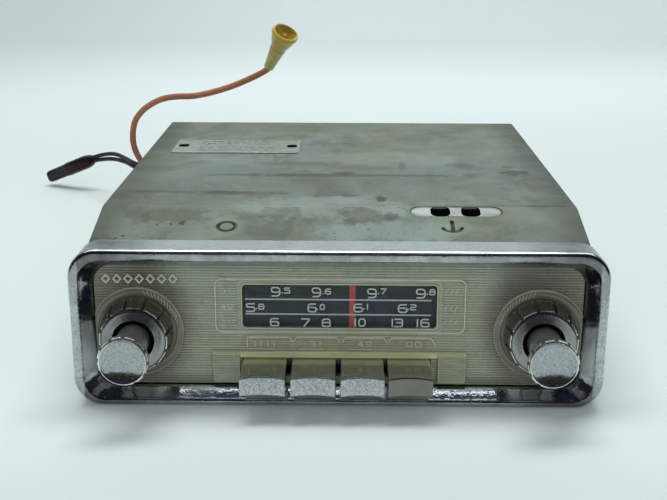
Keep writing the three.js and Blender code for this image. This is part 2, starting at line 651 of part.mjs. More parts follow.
// a round can on a six-sided flange with two fixing holes, outside the rear plate
function addPowerTransistor() {
  const x = 45, z = 32, holeOffset = 15;
  const flange = polygon([
    [x - 19.6, z], [x - 5, z - 11.5], [x + 5, z - 11.5],
    [x + 19.6, z], [x + 5, z + 11.5], [x - 5, z + 11.5],
  ]);
  add("power_transistor", MATERIAL.steel, cut(
    union(cylY(x, z, 200.4, 206.6, 9.4), prismY(flange, 200.3, 202.2)),
    cylY(x - holeOffset, z, 199, 204, 1.9, 10),
    cylY(x + holeOffset, z, 199, 204, 1.9, 10),
  ));
}

// ---------------------------------------------------------------- leads at the rear
// aerial coax with its plug
function addAntennaLead() {
  add("antenna_lead", MATERIAL.lead, rod([
    [-71.9, 190, 22], [-71.9, 203, 22], [-78, 215, 21.5], [-95, 227, 24], [-109, 232, 31],
    [-116.2, 232, 43], [-116.0, 232, 56], [-110.5, 232, 64.6], [-101, 232, 70.4],
    [-92, 232, 72.2], [-82, 232, 72.7], [-71, 232, 75.0], [-60, 232, 78.5],
    [-49, 232, 83.2], [-41.2, 232, 87.4],
  ], 1.7, 8, 40));
  const plug = addAimedGroup(
    new THREE.Vector3(-40.6, 232, 88.0),
    new THREE.Vector3(0.408, -0.420, 0.813),
  );
  add("antenna_plug", MATERIAL.nylon, latheY([
    [0, 0.4], [2.8, 0.4], [4.1, 13.2], [4.3, 14.6], [4.5, 15.6], [6.5, 21.0],
    [7.3, 23.4], [7.4, 25.0], [6.7, 25.8], [5.5, 25.4], [4.1, 18.9], [0, 18.9],
  ], 20), [0, 0, 0], plug);
}

// twin feed with its two-pole plug
const TWIN_LEAD = [ // x, y, z, share of the extra spread
  [-68.2, 190, 22, 0], [-68.2, 203, 22, 0], [-71, 216, 22, 0], [-84, 234, 22, 0],
  [-103, 250, 24, 0], [-121.5, 262, 26.4, 0], [-130, 275, 26.6, 0], [-137.5, 286, 26.2, 1],
  [-143.8, 293, 25.2, 1], [-151.0, 300, 23.0, 0.6], [-156.3, 304.6, 21.0, 0],
];

function addTwinLead() {
  const offset = 1.12, spread = 0.45; // upright distance of each wire from the path
  const wire = (sign) => rod(
    TWIN_LEAD.map(([x, y, z, share]) => [x, y, z + sign * (offset + spread * share)]),
    1.3, 6, 30,
  );
  add("twin_lead", MATERIAL.rubber, union(wire(1), wire(-1)));
  const start = new THREE.Vector3(-157.2, 305.4, 20.6);
  const target = new THREE.Vector3(-190, 321, 5.2);
  const body = addAimedGroup(start, target.sub(start));
  add("lead_plug", MATERIAL.black, union(
    latheY([[0, 0.4], [2.8, 0.4], [4.0, 3.0], [4.4, 5.0], [4.4, 21.0], [0, 21.0]], 14),
    latheY([[0, 20.0], [4.0, 20.0], [4.0, 36.6], [3.2, 38.4], [0, 38.4]], 14),
  ), [0, 0, 0], body);
}

function addGrommet() {
  add("rear_grommet", MATERIAL.rubber, latheY([
    [4.7, -4.2], [7.6, -4.2], [7.6, -1.5], [5.7, -1.5], [5.7, 0.3],
    [7.6, 0.3], [7.2, 3.2], [4.7, 3.2], [4.7, -4.2],
  ], 18), [LEAD_HOLE.x, CASE_REAR, LEAD_HOLE.z]);
}

// ---------------------------------------------------------------- assembly
addBezel();
addFascia();
addFrontPlate();
addTopCover();
addChassisTray();
addRearPlate();
addCoverScrews();
addNameplate();
addTrimmerStrip();
addControls();
addKeys();
addPointer();
addPulleys();
addCord();
addTuner();
addElectronics();
addPowerTransistor();
addGrommet();
addAntennaLead();
addTwinLead();

// origin: the centre of the flat underside
const part = new THREE.Group();
radio.position.set(0, -(FOLD_Y + CASE_REAR) / 2, 0);
part.add(radio);
export default part;
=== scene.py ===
# A push-button radio: chrome bezel, ribbed olive fascia with a dial window, four keys, a pair of
# concentric knobs at each end, a sheet casing with a sloping nose, and leads at the rear.
# Working millimetres: x from the centre line (right is +), y from the back of the bezel
# (the front is -), z up from the underside. Shader positions and lights are in metres.
import math
import bmesh
import bpy
import numpy as np
from mathutils import Matrix, Vector


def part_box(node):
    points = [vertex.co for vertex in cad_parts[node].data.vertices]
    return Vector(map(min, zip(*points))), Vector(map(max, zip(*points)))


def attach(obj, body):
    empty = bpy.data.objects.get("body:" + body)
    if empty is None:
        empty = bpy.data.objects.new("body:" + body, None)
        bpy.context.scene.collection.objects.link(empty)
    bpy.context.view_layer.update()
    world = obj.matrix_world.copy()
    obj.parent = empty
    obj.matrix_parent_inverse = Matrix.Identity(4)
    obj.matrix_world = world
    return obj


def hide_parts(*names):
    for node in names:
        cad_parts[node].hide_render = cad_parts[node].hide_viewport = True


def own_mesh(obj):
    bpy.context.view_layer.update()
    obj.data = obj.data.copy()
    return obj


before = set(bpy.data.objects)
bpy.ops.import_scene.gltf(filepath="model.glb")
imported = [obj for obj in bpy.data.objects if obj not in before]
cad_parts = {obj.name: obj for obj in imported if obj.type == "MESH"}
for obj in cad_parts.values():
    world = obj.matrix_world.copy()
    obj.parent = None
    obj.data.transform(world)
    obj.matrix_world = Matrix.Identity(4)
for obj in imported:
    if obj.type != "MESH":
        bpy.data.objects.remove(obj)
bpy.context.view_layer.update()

# ---------------------------------------------------------------- frame
MM = 0.001
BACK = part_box("bezel")[1].y
SCENE = bpy.context.scene


def metres(x, y, z):
    return (x * MM, y * MM + BACK, z * MM)


def mm_of(point):
    return (point.x / MM, (point.y - BACK) / MM, point.z / MM)


def centre(node):
    low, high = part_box(node)
    return (low + high) / 2


def box_mm(node):
    low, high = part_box(node)
    return mm_of(low), mm_of(high)


def axis_of(node):
    """The (x, z) of an axis that runs along y."""
    x, _, z = mm_of(centre(node))
    return x, z


LEFT_SPINDLE = axis_of("volume_knob")
RIGHT_SPINDLE = axis_of("tuning_knob")

# lid: its front part slopes down from the fold to the front edge
FOLD_Y = 28.0
NOSE_DROP = 7.16
NOSE_EDGE_Z = 56.84
NOSE = math.atan2(NOSE_DROP, FOLD_Y)
STAMP_CIRCLE = (-41.3, 12.2, 3.15)  # x, y, radius
STAMP_ARC = (41.4, 12.9, 3.65)

# ---------------------------------------------------------------- material tools
RISE = (0.0, 1.0)
FALL = (1.0, 0.0)
SHADER_INPUTS = {
    "color": "Base Color", "rough": "Roughness", "metal": "Metallic",
    "spec": "Specular IOR Level", "coat": "Coat Weight", "coat_rough": "Coat Roughness",
    "sss": "Subsurface Weight", "sss_radius": "Subsurface Radius",
    "sss_scale": "Subsurface Scale", "normal": "Normal",
    "emission": "Emission Color", "glow": "Emission Strength",
}


def shade(color, factor):
    return tuple(c * factor for c in color)


class Material:
    """A node material on object coordinates. Each method adds a node and gives its output."""

    def __init__(self, name):
        self.material = bpy.data.materials.new(name)
        self.material.use_nodes = True
        self.tree = self.material.node_tree
        self.tree.nodes.clear()
        self.output = self.node("OutputMaterial")
        self.bsdf = self.node("BsdfPrincipled")
        self.link(self.bsdf.outputs[0], self.output.inputs["Surface"])
        self.coord = self.node("TexCoord").outputs["Object"]

    def node(self, kind):
        return self.tree.nodes.new("ShaderNode" + kind)

    def link(self, source, target):
        self.tree.links.new(source, target)

    def put(self, socket, value):
        """Links a socket or sets a value; a colour of three gets its alpha."""
        if isinstance(value, bpy.types.NodeSocket):
            self.link(value, socket)
        elif isinstance(value, tuple):
            opaque = len(value) == 3 and len(socket.default_value) == 4
            socket.default_value = value + ((1.0,) if opaque else ())
        else:
            socket.default_value = value

    def build(self, **inputs):
        """Sets the Principled inputs and gives the finished material."""
        for key, value in inputs.items():
            self.put(self.bsdf.inputs[SHADER_INPUTS[key]], value)
        return self.material

    def math(self, operation, a, b=0.0, clamp=False):
        node = self.node("Math")
        node.operation = operation
        node.use_clamp = clamp
        for socket, value in zip(node.inputs, (a, b, 0.0)):
            self.put(socket, value)
        return node.outputs[0]

    def times(self, a, b, clamp=False):
        return self.math("MULTIPLY", a, b, clamp)

    def add(self, a, b, clamp=False):
        return self.math("ADD", a, b, clamp)

    def minus(self, a, b):
        return self.math("SUBTRACT", a, b)

    def size(self, value):
        return self.math("ABSOLUTE", value)

    def away(self, value, middle):
        """Distance from a middle value."""
        return self.size(self.minus(value, middle))

    def xyz(self):
        node = self.node("SeparateXYZ")
        self.link(self.coord, node.inputs[0])
        return node.outputs

    def noise(self, scale, detail=4, rough=0.6, stretch=None, shift=(0, 0, 0), turn=0.0,
              distortion=0.0):
        """Noise; with stretch its coordinates are scaled, shifted and turned about z."""
        vector = self.coord
        if stretch:
            mapping = self.node("Mapping")
            self.link(vector, mapping.inputs["Vector"])
            mapping.inputs["Scale"].default_value = stretch
            mapping.inputs["Rotation"].default_value = (0, 0, turn)
            mapping.inputs["Location"].default_value = shift
            vector = mapping.outputs[0]
        node = self.node("TexNoise")
        node.inputs["Scale"].default_value = scale
        node.inputs["Detail"].default_value = detail
        node.inputs["Roughness"].default_value = rough
        node.inputs["Distortion"].default_value = distortion
        self.link(vector, node.inputs["Vector"])
        return node.outputs[0]

    def voronoi(self, scale):
        node = self.node("TexVoronoi")
        node.feature = "F1"
        node.inputs["Scale"].default_value = scale
        self.link(self.coord, node.inputs["Vector"])
        return node.outputs[0]

    def step(self, value, limits, out=RISE):
        """A smooth step of value between two limits, giving out[0] to out[1]."""
        node = self.node("MapRange")
        node.interpolation_type = "SMOOTHSTEP"
        self.put(node.inputs[0], value)
        for socket, number in zip(list(node.inputs)[1:5], (*limits, *out)):
            socket.default_value = number
        return node.outputs[0]

    def band(self, value, rise, fall):
        """1 between two pairs of limits."""
        return self.times(self.step(value, rise), self.step(value, fall, FALL))

    def patches(self, scale, limits, out=RISE, **noise):
        """Noise taken through a step."""
        return self.step(self.noise(scale, **noise), limits, out)

    def mix(self, mask, below, above, amount=None, mode="MIX"):
        """Lays one colour over another through a mask, weakened by amount."""
        node = self.node("Mix")
        node.data_type = "RGBA"
        node.blend_type = mode
        node.clamp_result = False
        self.put(node.inputs[0], mask if amount is None else self.times(mask, amount))
        self.put(node.inputs[6], below)
        self.put(node.inputs[7], above)
        return node.outputs[2]

    def bump(self, height, strength, distance, normal=None):
        node = self.node("Bump")
        node.inputs["Strength"].default_value = strength
        node.inputs["Distance"].default_value = distance
        self.link(height, node.inputs["Height"])
        if normal is not None:
            self.link(normal, node.inputs["Normal"])
        return node.outputs[0]

    def squares(self, a, b):
        return self.add(self.times(a, a), self.times(b, b))

    def ellipse(self, along, middle, radii, noise, ragged):
        """Squared distance in radii from a middle, its outline made ragged by noise."""
        a, b = (
            self.math("DIVIDE", self.minus(value, mid), radius)
            for value, mid, radius in zip(along, middle, radii)
        )
        return self.add(self.squares(a, b), self.times(self.minus(noise, 0.5), ragged))


# ---------------------------------------------------------------- metals
def rub_and_shade_bezel(mat, color, roughness):
    """Clouds the bezel's front rim, and paints shade and pale reflections on the slopes and far
    ends.
    """
    x, y, z = mat.xyz()
    front = mat.times(
        mat.step(mat.times(y, -1.0), (0.1268, 0.1274)),
        mat.patches(150, (0.30, 0.62), out=(0.55, 1.0), detail=5, rough=0.65),
    )
    color = mat.mix(front, color, (0.33, 0.34, 0.345))
    # painted shade on the slopes, most of all in the corners
    side = mat.size(x)
    from_middle = mat.away(z, 0.031)
    corner_shade = mat.band(side, (0.058, 0.082), (0.0905, 0.0912))
    corner_shade = mat.times(corner_shade, mat.patches(70, (0.30, 0.62), out=(0.6, 1.0), detail=5))
    corner_shade = mat.times(corner_shade, mat.step(from_middle, (0.004, 0.018), out=(0.55, 0.95)))
    # painted pale reflections at the far ends and low on the slopes, with added satin roughness
    pale_sheen = mat.times(
        mat.step(side, (0.0895, 0.0915)), mat.band(z, (0.006, 0.014), (0.034, 0.048)))
    pale_sheen = mat.times(pale_sheen, mat.patches(900, (0.40, 0.60), rough=0.7), clamp=True)
    low = mat.times(
        mat.band(side, (0.084, 0.0865), (0.0904, 0.0914)),
        mat.band(z, (0.0085, 0.0145), (0.023, 0.036)),
    )
    low_patches = mat.patches(110, (0.30, 0.55), out=(0.35, 1.0), detail=5, rough=0.65)
    low = mat.times(low, low_patches, clamp=True)
    color = mat.mix(mat.times(corner_shade, mat.minus(1.0, low)), color, (0.13, 0.122, 0.135))
    color = mat.mix(low, color, (0.74, 0.765, 0.775))
    color = mat.mix(pale_sheen, color, (0.80, 0.82, 0.83), amount=0.8)
    pale = mat.math("MAXIMUM", mat.times(low, 0.42), mat.times(pale_sheen, 0.38))
    return color, mat.add(roughness, mat.add(mat.times(front, 0.05), pale), clamp=True)


def chrome(name, base, rough, pit, dull, pit_scale=1500, wave=0.0, mottle=0.0, metal=1.0,
           rubbed_and_shaded=False):
    """Worn chrome: pit is the strength of the pits, dull the added roughness of patches."""
    mat = Material(name)
    patch = mat.patches(60, (0.45, 0.68), detail=5)
    specks = mat.step(mat.voronoi(pit_scale * 0.45), (0.08, 0.26), FALL)
    pits = mat.times(specks, mat.patches(180, (0.42, 0.62), detail=3), clamp=True)
    pits = mat.times(pits, pit, clamp=True)
    color = mat.mix(patch, base, shade(base, 0.86))
    color = mat.mix(pits, color, (0.12, 0.115, 0.105))
    roughness = mat.add(mat.times(patch, dull), rough)
    roughness = mat.add(roughness, mat.times(pits, 0.4), clamp=True)
    if mottle:  # bright, then dark specks all over
        bright = mat.patches(1500, (0.40, 0.60), detail=5, rough=0.75)
        color = mat.mix(bright, color, shade(base, 1.75), amount=mottle)
        dark = mat.patches(1100, (0.56, 0.66), rough=0.7, stretch=(1, 1, 1),
                           shift=(0.3, 0.7, 0.1))
        color = mat.mix(dark, color, shade(base, 0.35), amount=mottle)
    if rubbed_and_shaded:
        color, roughness = rub_and_shade_bezel(mat, color, roughness)
    waves = mat.bump(mat.noise(190, rough=0.55), 1.0, wave) if wave else None
    grain = mat.times(mat.noise(pit_scale, detail=3), 0.25)
    height = mat.add(mat.times(pits, -1.0), grain)
    return mat.build(color=color, metal=metal, rough=roughness,
                     normal=mat.bump(height, 0.25, 0.00008, waves))


def satin(name, base, rough, grain, amount, dark=(0.1, 0.1, 0.1), low=0.8):
    """Grained metal; amount is the strength of its dark specks, low the darker shade."""
    mat = Material(name)
    fine = mat.noise(grain, detail=5, rough=0.7)
    coarse = mat.noise(grain * 0.18)
    specks = mat.step(mat.voronoi(grain * 0.9), (0.1, 0.3), FALL)
    specks = mat.times(specks, mat.step(coarse, (0.4, 0.6)), clamp=True)
    color = mat.mix(mat.step(fine, (0.38, 0.62)), shade(base, low), base)
    color = mat.mix(specks, color, dark, amount=amount)
    return mat.build(
        color=color, metal=1.0, rough=mat.step(fine, (0.3, 0.7), out=(rough + 0.12, rough - 0.06)),
        normal=mat.bump(mat.minus(fine, specks), 0.35, 0.00006))


def stained_sheet(name, tint):
    """Plated sheet with clouds, smears and spots: the builder, its colour and its normal."""
    mat = Material(name)
    dark = shade((0.13, 0.145, 0.112), tint)
    color = mat.mix(
        mat.patches(1.0, (0.40, 0.60), detail=5, rough=0.55, stretch=(17, 10, 22), distortion=0.5),
        shade((0.232, 0.275, 0.218), tint), shade((0.255, 0.32, 0.272), tint))
    clouds = [  # limits, detail, rough, stretch, shift, distortion, amount, colour
        ((0.46, 0.62), 5, 0.60, (28, 15, 34), (3, 1, 2), 0.8, 0.8,
         shade((0.225, 0.235, 0.165), tint)),
        ((0.50, 0.64), 6, 0.62, (44, 24, 48), (5, 9, 3), 1.0, 0.62, dark),
        ((0.57, 0.70), 6, 0.66, (30, 75, 90), (1, 4, 2), 1.2, 0.4, dark),
        ((0.56, 0.68), 6, 0.60, (38, 26, 90), (7, 2, 5), 1.2, 0.4,
         shade((0.34, 0.40, 0.355), tint)),
    ]
    for limits, detail, rough, stretch, shift, distortion, amount, above in clouds:
        cloud = mat.patches(1.0, limits, detail=detail, rough=rough, stretch=stretch,
                            shift=shift, distortion=distortion)
        color = mat.mix(cloud, color, above, amount=amount)
    spots = mat.times(mat.step(mat.voronoi(170), (0.03, 0.2), FALL),
                      mat.patches(32, (0.52, 0.66), detail=3), clamp=True)
    color = mat.mix(spots, color, (0.05, 0.05, 0.035), amount=0.75)
    color = mat.mix(mat.patches(700, (0.45, 0.7), rough=0.7), color, dark, amount=0.16)
    scratches = mat.patches(1.0, (0.66, 0.74), detail=3, rough=0.5, stretch=(30, 900, 200),
                            turn=0.12)
    color = mat.mix(scratches, color, (0.4, 0.43, 0.4), amount=0.2)
    normal = mat.bump(mat.noise(1.0, stretch=(120, 420, 300)), 0.18, 0.0003)
    return mat, color, normal


def casing_sheet():
    mat, color, normal = stained_sheet("casing_sheet", 0.95)
    rough = mat.patches(1.0, (0.3, 0.7), out=(0.40, 0.58), detail=5, stretch=(20, 90, 90),
                        shift=(2, 8, 1))
    return mat.build(color=color, metal=0.55, rough=rough, normal=normal)


DIRT = (0.026, 0.031, 0.019)
BROWN = (0.058, 0.057, 0.034)
PALE = (0.225, 0.27, 0.24)
# columns: centre x, y, radius x, y (mm), colour, amount, noise scale, softness of the edge
BROAD_TONES = [
    (-12, 190, 60, 18, (0.115, 0.13, 0.078), 0.45, 60, 1.2),
    (60, 188, 40, 14, (0.12, 0.13, 0.095), 0.4, 60, 1.2),
    (-70, 44, 30, 22, BROWN, 0.42, 60, 1.2),
    (72, 18, 26, 16, (0.135, 0.15, 0.115), 0.5, 60, 1.2),
    (-5, 30, 34, 14, PALE, 0.55, 60, 1.1),
    (20, 9, 40, 8, PALE, 0.6, 60, 1.1),
    (20, 110, 34, 14, PALE, 0.35, 70, 1.1),
    (0, 74, 84, 26, (0.062, 0.067, 0.05), 0.26, 60, 1.3),
]
STAIN_SOFTNESS = 0.7
# the same columns without the softness
STAINS = [
    (-14, 78, 46, 3.4, DIRT, 0.6, 120), (-20, 100, 26, 5, BROWN, 0.4, 110),
    (32, 78, 26, 2.2, DIRT, 0.55, 150), (-40, 46, 24, 4, BROWN, 0.7, 150),
    (-64, 48, 34, 2.0, DIRT, 0.5, 150), (-62, 20, 20, 7, BROWN, 0.6, 110),
    (8, 20, 12, 7, BROWN, 0.6, 130), (-22, 22, 8, 6, BROWN, 0.45, 150),
    (52, 98, 9, 4, DIRT, 0.3, 200), (27, 96, 2.0, 10, DIRT, 0.5, 240),
    (2, 82, 5, 5, DIRT, 0.75, 260), (74.5, 83, 7, 6.5, DIRT, 0.85, 220),
    (73, 95, 4, 3, DIRT, 0.6, 260), (80, 58, 6, 7, (0.055, 0.06, 0.045), 0.5, 240),
    (3, 43, 4, 2.4, DIRT, 0.75, 320), (16, 39, 2.2, 6, DIRT, 0.8, 320),
    (20, 20, 3, 4, DIRT, 0.6, 320), (-58, 14.5, 1.3, 1.9, DIRT, 1.0, 700),
    (-62, 13.5, 0.8, 1.1, DIRT, 0.9, 700), (-67, 13, 0.6, 0.9, DIRT, 0.9, 700),
    (-72, 16, 0.7, 0.9, DIRT, 0.8, 700), (-78, 5, 0.9, 0.9, DIRT, 1.0, 700),
    (-80.5, 3.5, 0.8, 0.8, DIRT, 1.0, 700), (-88, 3.5, 1.5, 0.9, DIRT, 0.7, 700),
    (-72, 18, 2.6, 4, DIRT, 0.4, 420),
]
# noise scale, limits, amount, colour
LID_SPECKLES = [
    (620, (0.60, 0.68), 0.5, DIRT),
    (310, (0.62, 0.70), 0.4, BROWN),
    (1300, (0.60, 0.70), 0.3, DIRT),
]


def lid_sheet():
    mat, color, normal = stained_sheet("casing_lid_sheet", 0.60)
    x, y, z = mat.xyz()
    stains = BROAD_TONES + [(*row, STAIN_SOFTNESS) for row in STAINS]
    for cx, cy, rx, ry, above, amount, scale, soft in stains:
        noise = mat.noise(scale, detail=6, rough=0.72)
        distance = mat.ellipse((x, y), metres(cx, cy, 0)[:2], (rx * MM, ry * MM), noise, 4.6)
        color = mat.mix(mat.step(distance, (0.3, 0.3 + soft), FALL), color, above, amount=amount)
    # speckled dirt, thickest on the nose
    for scale, limits, amount, above in LID_SPECKLES:
        field = mat.times(mat.patches(scale, limits, detail=3),
                          mat.patches(30, (0.42, 0.6)), clamp=True)
        front = mat.step(y, (-0.084, -0.034), out=(1.0, 0.35))
        color = mat.mix(mat.times(field, front), color, above, amount=amount)

    def ring(stamp, half_width, fade):
        """The line of a stamped circle, and the distance from its centre."""
        middle = metres(stamp[0], stamp[1], 0)
        distance = mat.math("SQRT", mat.squares(mat.minus(x, middle[0]), mat.minus(y, middle[1])))
        line = mat.away(distance, stamp[2] * MM)
        return mat.step(line, (half_width * MM, (half_width + fade) * MM), FALL), distance

    # painted shade in the stamped circle, the arc and its bar, each with a paler halo
    circle, distance = ring(STAMP_CIRCLE, 0.45, 0.4)
    halo = mat.step(distance, (0.0050, 0.0085), FALL)
    color = mat.mix(halo, color, (0.20, 0.23, 0.165), amount=0.45)
    uneven = mat.patches(520, (0.36, 0.5), out=(0.55, 1.0), detail=3)
    color = mat.mix(circle, color, (0.010, 0.012, 0.008), amount=uneven)
    arc, distance = ring(STAMP_ARC, 0.45, 0.3)
    below = mat.step(y, (metres(0, 12.2, 0)[1], metres(0, 12.9, 0)[1]), FALL)
    halo = mat.step(distance, (0.0052, 0.0088), FALL)
    color = mat.mix(halo, color, (0.19, 0.215, 0.15), amount=0.35)
    bar = mat.times(mat.step(mat.away(x, 0.0415), (0.0006, 0.0009), FALL),
                    mat.step(mat.away(y, metres(0, 13.2, 0)[1]), (0.0038, 0.0042), FALL))
    color = mat.mix(mat.math("MAXIMUM", mat.times(arc, below), bar), color, (0.042, 0.038, 0.017))
    # the crease of the bend, darkest near the right side
    crease = mat.times(mat.step(mat.away(y, metres(0, 29, 0)[1]), (0.0003, 0.0011), FALL),
                       mat.step(x, (0.045, 0.075), out=(0.12, 0.8)))
    color = mat.mix(crease, color, DIRT)
    # both sides darken towards their edges
    side = mat.times(mat.step(mat.size(x), (0.070, 0.0895)),
                     mat.step(z, (0.046, 0.0565), out=(0.25, 1.0)))
    color = mat.mix(side, color, (0.042, 0.050, 0.033), amount=0.85)
    return mat.build(color=color, metal=0.12, spec=0.28, normal=normal,
                     rough=mat.patches(60, (0.35, 0.65), out=(0.46, 0.62)))


def nameplate_metal():
    mat = Material("nameplate_metal")
    streaks = mat.noise(1.0, detail=5, stretch=(60, 200, 60))
    color = mat.mix(mat.step(streaks, (0.35, 0.65)), (0.255, 0.28, 0.24), (0.335, 0.355, 0.30))
    specks = mat.patches(420, (0.50, 0.62), detail=5, rough=0.75)
    x, _, z = mat.xyz()
    middle = mat.step(mat.away(x, -0.048), (0.012, 0.024), out=(1.0, 0.35))
    color = mat.mix(mat.times(specks, mat.times(middle, 0.85)), color, (0.085, 0.095, 0.07))
    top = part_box("nameplate")[1].z
    rim = mat.step(z, (top - 0.00006, top - 0.00001))
    color = mat.mix(rim, color, (0.38, 0.41, 0.35), amount=0.4)
    return mat.build(color=color, metal=0.7, rough=mat.step(streaks, (0.3, 0.7), out=(0.45, 0.3)),
                     normal=mat.bump(mat.noise(500, detail=5, rough=0.7), 0.3, 0.0002))


def strip_metal():
    mat = Material("bare_metal_strip")
    x = mat.xyz()[0]
    grain = mat.noise(1100, detail=5, rough=0.75)
    middle = mat.step(mat.away(x, 0.0445), (0.004, 0.014), FALL)
    color = mat.mix(middle, (0.35, 0.385, 0.365), (0.14, 0.145, 0.13),
                    amount=mat.step(grain, (0.42, 0.6)))
    color = mat.mix(mat.step(x, (0.040, 0.052)), color, (0.29, 0.31, 0.27), amount=0.55)
    specks = mat.patches(900, (0.56, 0.64), rough=0.7)
    color = mat.mix(specks, color, (0.15, 0.155, 0.135), amount=0.6)
    return mat.build(color=color, metal=0.3, rough=0.42, normal=mat.bump(grain, 0.3, 0.0001))


# ---------------------------------------------------------------- plastics and the rest
RIB_PITCH = 1.0


def fascia_acrylic():
    mat = Material("olive_acrylic")
    x, _, z = mat.xyz()
    color = mat.mix(mat.patches(1.0, (0.35, 0.65), detail=3, rough=0.5, stretch=(20, 20, 60)),
                    (0.286, 0.311, 0.257), (0.285, 0.298, 0.228))
    # painted shade round both spindles, where the dark inside shows through the panel
    for cx, _ in (LEFT_SPINDLE, RIGHT_SPINDLE):
        distance = mat.ellipse((x, z), (cx * MM, 0.0305), (0.021, 0.029), mat.noise(70), 0.5)
        color = mat.mix(mat.step(distance, (0.2, 1.3), out=(0.9, 0.0)), color,
                        (0.070, 0.069, 0.052))
    # painted shade along the top edge, the bottom edge and both ends, and a yellower lower middle
    color = mat.mix(mat.step(z, (0.0455, 0.0515)), color, (0.14, 0.15, 0.11), amount=0.2)
    middle = mat.times(mat.step(mat.size(x), (0.030, 0.060), FALL),
                       mat.step(z, (0.022, 0.034), FALL))
    color = mat.mix(middle, color, (0.275, 0.288, 0.19), amount=0.6)
    color = mat.mix(mat.step(z, (0.0070, 0.0115), FALL), color, (0.07, 0.073, 0.05), amount=0.6)
    ends = mat.step(mat.size(x), (0.074, 0.0865))
    color = mat.mix(ends, color, (0.19, 0.195, 0.14), amount=0.4)
    # ribs: painted shade in the valleys and painted highlight on the ridges
    panel_bottom = box_mm("fascia_panel")[0][2]
    rise = mat.math("DIVIDE", mat.minus(z, panel_bottom * MM), RIB_PITCH * MM)
    ridge = mat.band(mat.math("FRACT", rise), (0.02, 0.2), (0.5, 0.75))
    uneven = mat.patches(1.0, (0.35, 0.65), out=(0.45, 1.0), stretch=(30, 1, 1000))
    color = mat.mix(ridge, mat.mix(1.0, color, (0.80, 0.80, 0.79), mode="MULTIPLY"),
                    mat.mix(1.0, color, (1.22, 1.22, 1.18), mode="MULTIPLY"), amount=uneven)
    grime = mat.patches(260, (0.56, 0.72), detail=6, rough=0.7)
    color = mat.mix(grime, color, (0.07, 0.07, 0.05), amount=0.25)
    return mat.build(
        color=color, rough=mat.patches(90, (0.3, 0.7), out=(0.22, 0.36)), coat=0.35,
        coat_rough=0.12, sss=0.15, sss_radius=(0.3, 0.35, 0.2), sss_scale=0.002,
        normal=mat.bump(mat.noise(600), 0.05, 0.0001))


def acrylic(name, base, rough=0.2, coat=0.5, sss=0.2, glow=0.0):
    """Clouded acrylic; glow stands for light that has run along inside it."""
    mat = Material(name)
    color = mat.mix(mat.patches(1.0, (0.35, 0.65), detail=5, stretch=(90, 90, 500)),
                    base, shade(base, 0.85))
    if glow:
        mat.build(emission=color, glow=glow)
    return mat.build(color=color, rough=rough, coat=coat, coat_rough=0.08, sss=sss,
                     sss_radius=(0.3, 0.35, 0.15), sss_scale=0.002,
                     normal=mat.bump(mat.noise(800, detail=3), 0.06, 0.0001))


def plastic(name, base, rough, scale, var, spec=0.5):
    """Grained plastic or print; var is how far its darker grain falls."""
    mat = Material(name)
    grain = mat.noise(scale, detail=5, rough=0.65)
    return mat.build(
        color=mat.mix(mat.step(grain, (0.35, 0.65)), base, shade(base, 1 - var)),
        rough=mat.step(grain, (0.3, 0.7), out=(rough + 0.08, rough - 0.06)), spec=spec,
        normal=mat.bump(grain, 0.15, 0.0001))


def dial_print():
    """Dark dial, bluish below the upper scale."""
    mat = Material("dial_dark_print")
    blue = mat.step(mat.xyz()[2], (0.0385, 0.0400), FALL)
    cloud = mat.patches(1.0, (0.35, 0.65), detail=3, rough=0.5, stretch=(45, 10, 90))
    tones = mat.mix(cloud, (0.017, 0.022, 0.023), (0.021, 0.022, 0.042))
    return mat.build(color=mat.mix(blue, (0.019, 0.022, 0.017), tones), rough=0.5, spec=0.2,
                     normal=mat.bump(mat.noise(900, detail=3), 0.05, 0.0001))


def window_clear():
    """Clear pane: a weak reflection and a trace of haze over transparency."""
    mat = Material("dial_window_clear")
    mat.tree.nodes.remove(mat.bsdf)
    clear = mat.node("BsdfTransparent")
    clear.inputs[0].default_value = (0.93, 0.95, 0.94, 1)
    glossy = mat.node("BsdfGlossy")
    glossy.inputs[0].default_value = (0.9, 0.95, 1, 1)
    glossy.inputs["Roughness"].default_value = 0.06  # stands if the noise is unlinked
    mat.put(glossy.inputs["Roughness"], mat.patches(300, (0.4, 0.7), out=(0.04, 0.12)))
    fresnel = mat.node("Fresnel")
    fresnel.inputs[0].default_value = 1.45
    haze = mat.node("BsdfDiffuse")
    haze.inputs[0].default_value = (0.55, 0.60, 0.60, 1)
    surface = clear
    reflection = mat.times(fresnel.outputs[0], 0.45)
    haze_amount = mat.patches(120, (0.35, 0.75), out=(0.004, 0.012), detail=5)
    for amount, shader in ((reflection, glossy), (haze_amount, haze)):
        mixed = mat.node("MixShader")
        mat.put(mixed.inputs[0], amount)
        mat.link(surface.outputs[0], mixed.inputs[1])
        mat.link(shader.outputs[0], mixed.inputs[2])
        surface = mixed
    mat.link(surface.outputs[0], mat.output.inputs["Surface"])
    return mat.material


def unlit_inside():
    mat = Material("unlit_inside")
    color = mat.mix(mat.patches(800, (0.4, 0.6), detail=3), (0.004, 0.004, 0.004),
                    (0.007, 0.007, 0.006))
    return mat.build(color=color, rough=0.95, spec=0.0)


def coax_jacket():
    mat = Material("coax_braid_jacket")
    weave = mat.noise(1.0, stretch=(1400, 1400, 1400))
    color = mat.mix(mat.patches(70, (0.35, 0.7)), (0.40, 0.165, 0.075), (0.27, 0.11, 0.065))
    color = mat.mix(mat.step(weave, (0.3, 0.6)), (0.19, 0.08, 0.05), color)
    return mat.build(color=color, rough=0.5, spec=0.4, normal=mat.bump(weave, 0.5, 0.0002))


